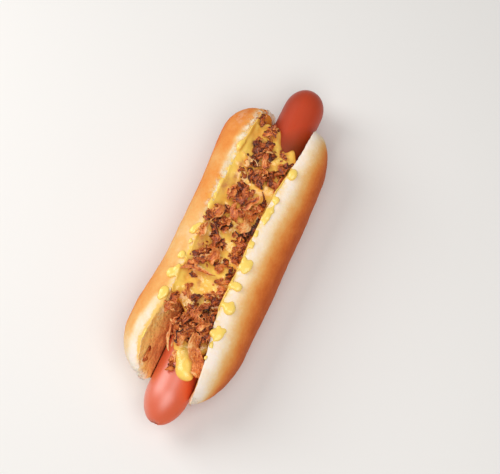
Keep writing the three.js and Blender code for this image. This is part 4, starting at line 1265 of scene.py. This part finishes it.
for _ in range(CRUMB_COUNT):
    _name, x, y, length, width, _turn, tone = SHREDS[int(draw.integers(len(SHREDS)))]
    x, y = x + draw.normal(0, 0.5) * length, y + draw.normal(0, 0.7) * width
    if -64 < x < 74 and dome_rim_y(x) + 1 < y < flat_rim_y(x) + 1:
        settle("crumb", x, y, draw.uniform(1.0, 2.6), draw.uniform(0.8, 1.9), draw.uniform(0, 360),
               max(0.35, tone + draw.normal(0, 0.15)), draw.normal(0, 0.4), draw.normal(0, 0.4),
               sink=0.15)

# Painted shade: the sauce under and beside the shreds turns a deeper orange.
onion_shade = (ground > height + 0.4).astype(float)
for _ in range(SHADE_SPREAD):
    onion_shade = (onion_shade + sum(np.roll(onion_shade, way, axis) for way in (1, -1) for axis in (0, 1))) / 5
store(sauce.data, "onion_shade", onion_shade[cell(*(places(sauce)[:, :2] / MM).T)])


def shred_tree():
    """Geometry Nodes: sets the named shred on each seat and makes them all real."""
    tree, given, result = new_tree("fried_onion_heap", {}, ("Shreds", "Collection"),
                                   ("Finish", "Material"))

    def seat_mark(name, kind):
        return add(tree, "GeometryNodeInputNamedAttribute", {"data_type": kind}, Name=name)[0]

    shapes = add(tree, "GeometryNodeCollectionInfo", Collection=given["Shreds"],
                 Separate_Children=True, Reset_Children=True)[0]
    turn = add(tree, "FunctionNodeEulerToRotation", Euler=seat_mark("turn", "FLOAT_VECTOR"))[0]
    seated = add(tree, "GeometryNodeInstanceOnPoints", Points=given["Geometry"], Instance=shapes,
                 Pick_Instance=True, Instance_Index=seat_mark("shape", "INT"), Rotation=turn,
                 Scale=seat_mark("size", "FLOAT_VECTOR"))[0]
    return end_tree(tree, seated, given["Finish"], result)


CHARRED_AND_SHADED = tint(62, 18, 6)
DARK_FRIED = tint(126, 44, 10)
FRIED = tint(204, 96, 34)
GOLDEN_FRIED = tint(242, 148, 70)
PALE_FRIED = tint(250, 196, 128)
PAINTED_GLINT = tint(242, 192, 154)


def onion_finish():
    finish, tree, shader, where = new_finish("crisp_onion")
    patch = grain(tree, where, 380, 4, 0.6)
    fine = grain(tree, where, 1100, 4, 0.7)
    streaks = add(tree, "ShaderNodeAttribute", {"attribute_name": "streak"})["Vector"]
    fibre = grain(tree, streaks, 1.0, 3, 0.6)
    share = vary(tree, vary(tree, marked(tree, "tone"), patch, 0.8), fine, 0.8)
    share = vary(tree, share, fibre, 1.3)
    # Painted shade: darker in each shred's creases, lighter on its ridges.
    share = math_of(tree, "MULTIPLY_ADD", marked(tree, "fold"), 0.12, share)
    # Painted shade where a shred lies deep under others.
    share = math_of(tree, "MULTIPLY_ADD", marked(tree, "crevice_shade"), -0.75, share)
    edging = math_of(tree, "MULTIPLY", marked(tree, "rim"), marked(tree, "rim_tone"))
    share = math_of(tree, "ADD", share, edging)
    colour = ramp(tree, share, (0.0, CHARRED_AND_SHADED), (0.22, DARK_FRIED), (0.48, FRIED),
                  (0.76, GOLDEN_FRIED), (1.0, PALE_FRIED))
    # Painted glints: pale specks of highlight on the coating.
    painted_glints = ramp(tree, grain(tree, where, 1900, 1), (0.56, BLACK), (0.66, WHITE))
    colour = blend(tree, math_of(tree, "MULTIPLY", painted_glints, 0.25), colour, PAINTED_GLINT)
    smears = ramp(tree, patch, (0.35, BLACK), (0.6, WHITE))
    wet = math_of(tree, "MULTIPLY", marked(tree, "wet"), smears)
    colour = blend(tree, wet, colour, SAUCE_BODY)
    tree.links.new(colour, shader.inputs["Base Color"])
    tree.links.new(math_of(tree, "MULTIPLY_ADD", fine, 0.4, 0.15), shader.inputs["Roughness"])
    shader.inputs["Specular IOR Level"].default_value = 0.4
    crust = bump(tree, patch, 0.0008, 0.6)
    ribs = bump(tree, fibre, 0.0007, 0.8, crust)
    tree.links.new(bump(tree, fine, 0.0003, 0.7, ribs), shader.inputs["Normal"])
    soft_inside(shader, 0.1, (1.0, 0.5, 0.2), 1)
    return finish


shred_shelf = bpy.data.collections.new("shred_shapes")
for number, name in enumerate(SHRED_NAMES):
    form, faces, marks = shred_models[name]
    sample = make_piece(f"shred_{number:02d}_{name}", form, faces)
    for mark, values in marks.items():
        store(sample.data, mark, values, "FLOAT_VECTOR" if mark == "streak" else "FLOAT")
    close_up(sample)
    sample.data.set_sharp_from_angle(angle=math.radians(SHARP_ABOVE))
    bpy.context.scene.collection.objects.unlink(sample)
    shred_shelf.objects.link(sample)

seat_places, turns, sizes, shape_numbers, tones, rim_tones = zip(*seats)
seat_mesh = bpy.data.meshes.new("onion_seats")
seat_mesh.from_pydata([tuple(v * MM for v in place) for place in seat_places], [], [])
for mark, values, kind in (("turn", turns, "FLOAT_VECTOR"), ("size", sizes, "FLOAT_VECTOR"),
                           ("shape", shape_numbers, "INT"), ("tone", tones, "FLOAT"),
                           ("rim_tone", rim_tones, "FLOAT")):
    store(seat_mesh, mark, values, kind)
onion_inputs = {"Shreds": shred_shelf, "Finish": onion_finish()}
onions = grow("crisp_onions", shred_tree(), onion_inputs, seat_mesh)
for sample in list(shred_shelf.objects):
    bpy.data.objects.remove(sample)
bpy.data.collections.remove(shred_shelf)

# What dips into the sauce is wet with it, and what lies deep under other shreds gets painted shade.
above_sauce = []
for spot in places(onions):
    hit = ground_under(sauce_surface, spot[0], spot[1])
    above_sauce.append(9.0 if hit is None else (spot[2] - hit.z) / MM)
store(onions.data, "wet", 1 - ease(np.array(above_sauce), -0.1, 0.25))
spots = places(onions) / MM
store(onions.data, "crevice_shade", ease(ground[cell(spots[:, 0], spots[:, 1])] - spots[:, 2], 1.0, 4.5))
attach(onions, "root")
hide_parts("fried_onions")


# ------------------------------------------------------------------ camera, floor and light
# A long lens looks down steeply from the dome's side of the nose. One soft box stands over the
# flatter half, a larger one hangs overhead toward the nose, and a pale floor runs under it all.

CAMERA_PLACE = Vector((-229.4, -116.6, 835.3)) * MM
CAMERA_TURN = math.radians(24.3)
CAMERA_TILT = math.radians(72.0)
LENS = 108.0

camera_data = bpy.data.cameras.new("camera")
camera_data.lens = LENS
camera_data.sensor_width = 36.0
camera_data.clip_start = 0.01
camera = place_piece("camera", camera_data)
camera.location = CAMERA_PLACE
look = Vector((math.cos(CAMERA_TILT) * math.cos(CAMERA_TURN),
               math.cos(CAMERA_TILT) * math.sin(CAMERA_TURN), -math.sin(CAMERA_TILT)))
camera.rotation_euler = look.to_track_quat("-Z", "Y").to_euler()
bpy.context.scene.camera = camera

FLOOR_SIZE = 3000
FLOOR_DROP = 0.2
PALE_FLOOR = tint(238, 235, 231)
LIGHT_AIM = Vector((0, 0, 0.02))
SKY_STRENGTH = 0.25

floor = make_piece("floor", [(sx * FLOOR_SIZE, sy * FLOOR_SIZE, -FLOOR_DROP) for sx, sy in
                             ((-1, -1), (1, -1), (1, 1), (-1, 1))], [(0, 1, 2, 3)])
floor_finish, _tree, floor_shader, _where = new_finish("pale_floor")
floor_shader.inputs["Base Color"].default_value = PALE_FLOOR
floor_shader.inputs["Roughness"].default_value = 0.9
floor.data.materials.append(floor_finish)


def soft_box(name, place, width, height, power):
    lamp_data = bpy.data.lights.new(name, "AREA")
    lamp_data.shape = "RECTANGLE"
    lamp_data.size = width
    lamp_data.size_y = height
    lamp_data.energy = power
    lamp = place_piece(name, lamp_data)
    lamp.location = place
    lamp.rotation_euler = (LIGHT_AIM - Vector(place)).to_track_quat("-Z", "Y").to_euler()


soft_box("key_light", (0.02, 0.50, 0.50), width=0.36, height=0.6, power=2.75)
soft_box("top_light", (-0.3, -0.25, 0.9), width=0.8, height=0.8, power=5.7)
world = bpy.data.worlds.new("studio")
world.use_nodes = True
world.node_tree.nodes["Background"].inputs["Color"].default_value = WHITE
world.node_tree.nodes["Background"].inputs["Strength"].default_value = SKY_STRENGTH
bpy.context.scene.world = world
bpy.context.scene.view_settings.view_transform = "Standard"
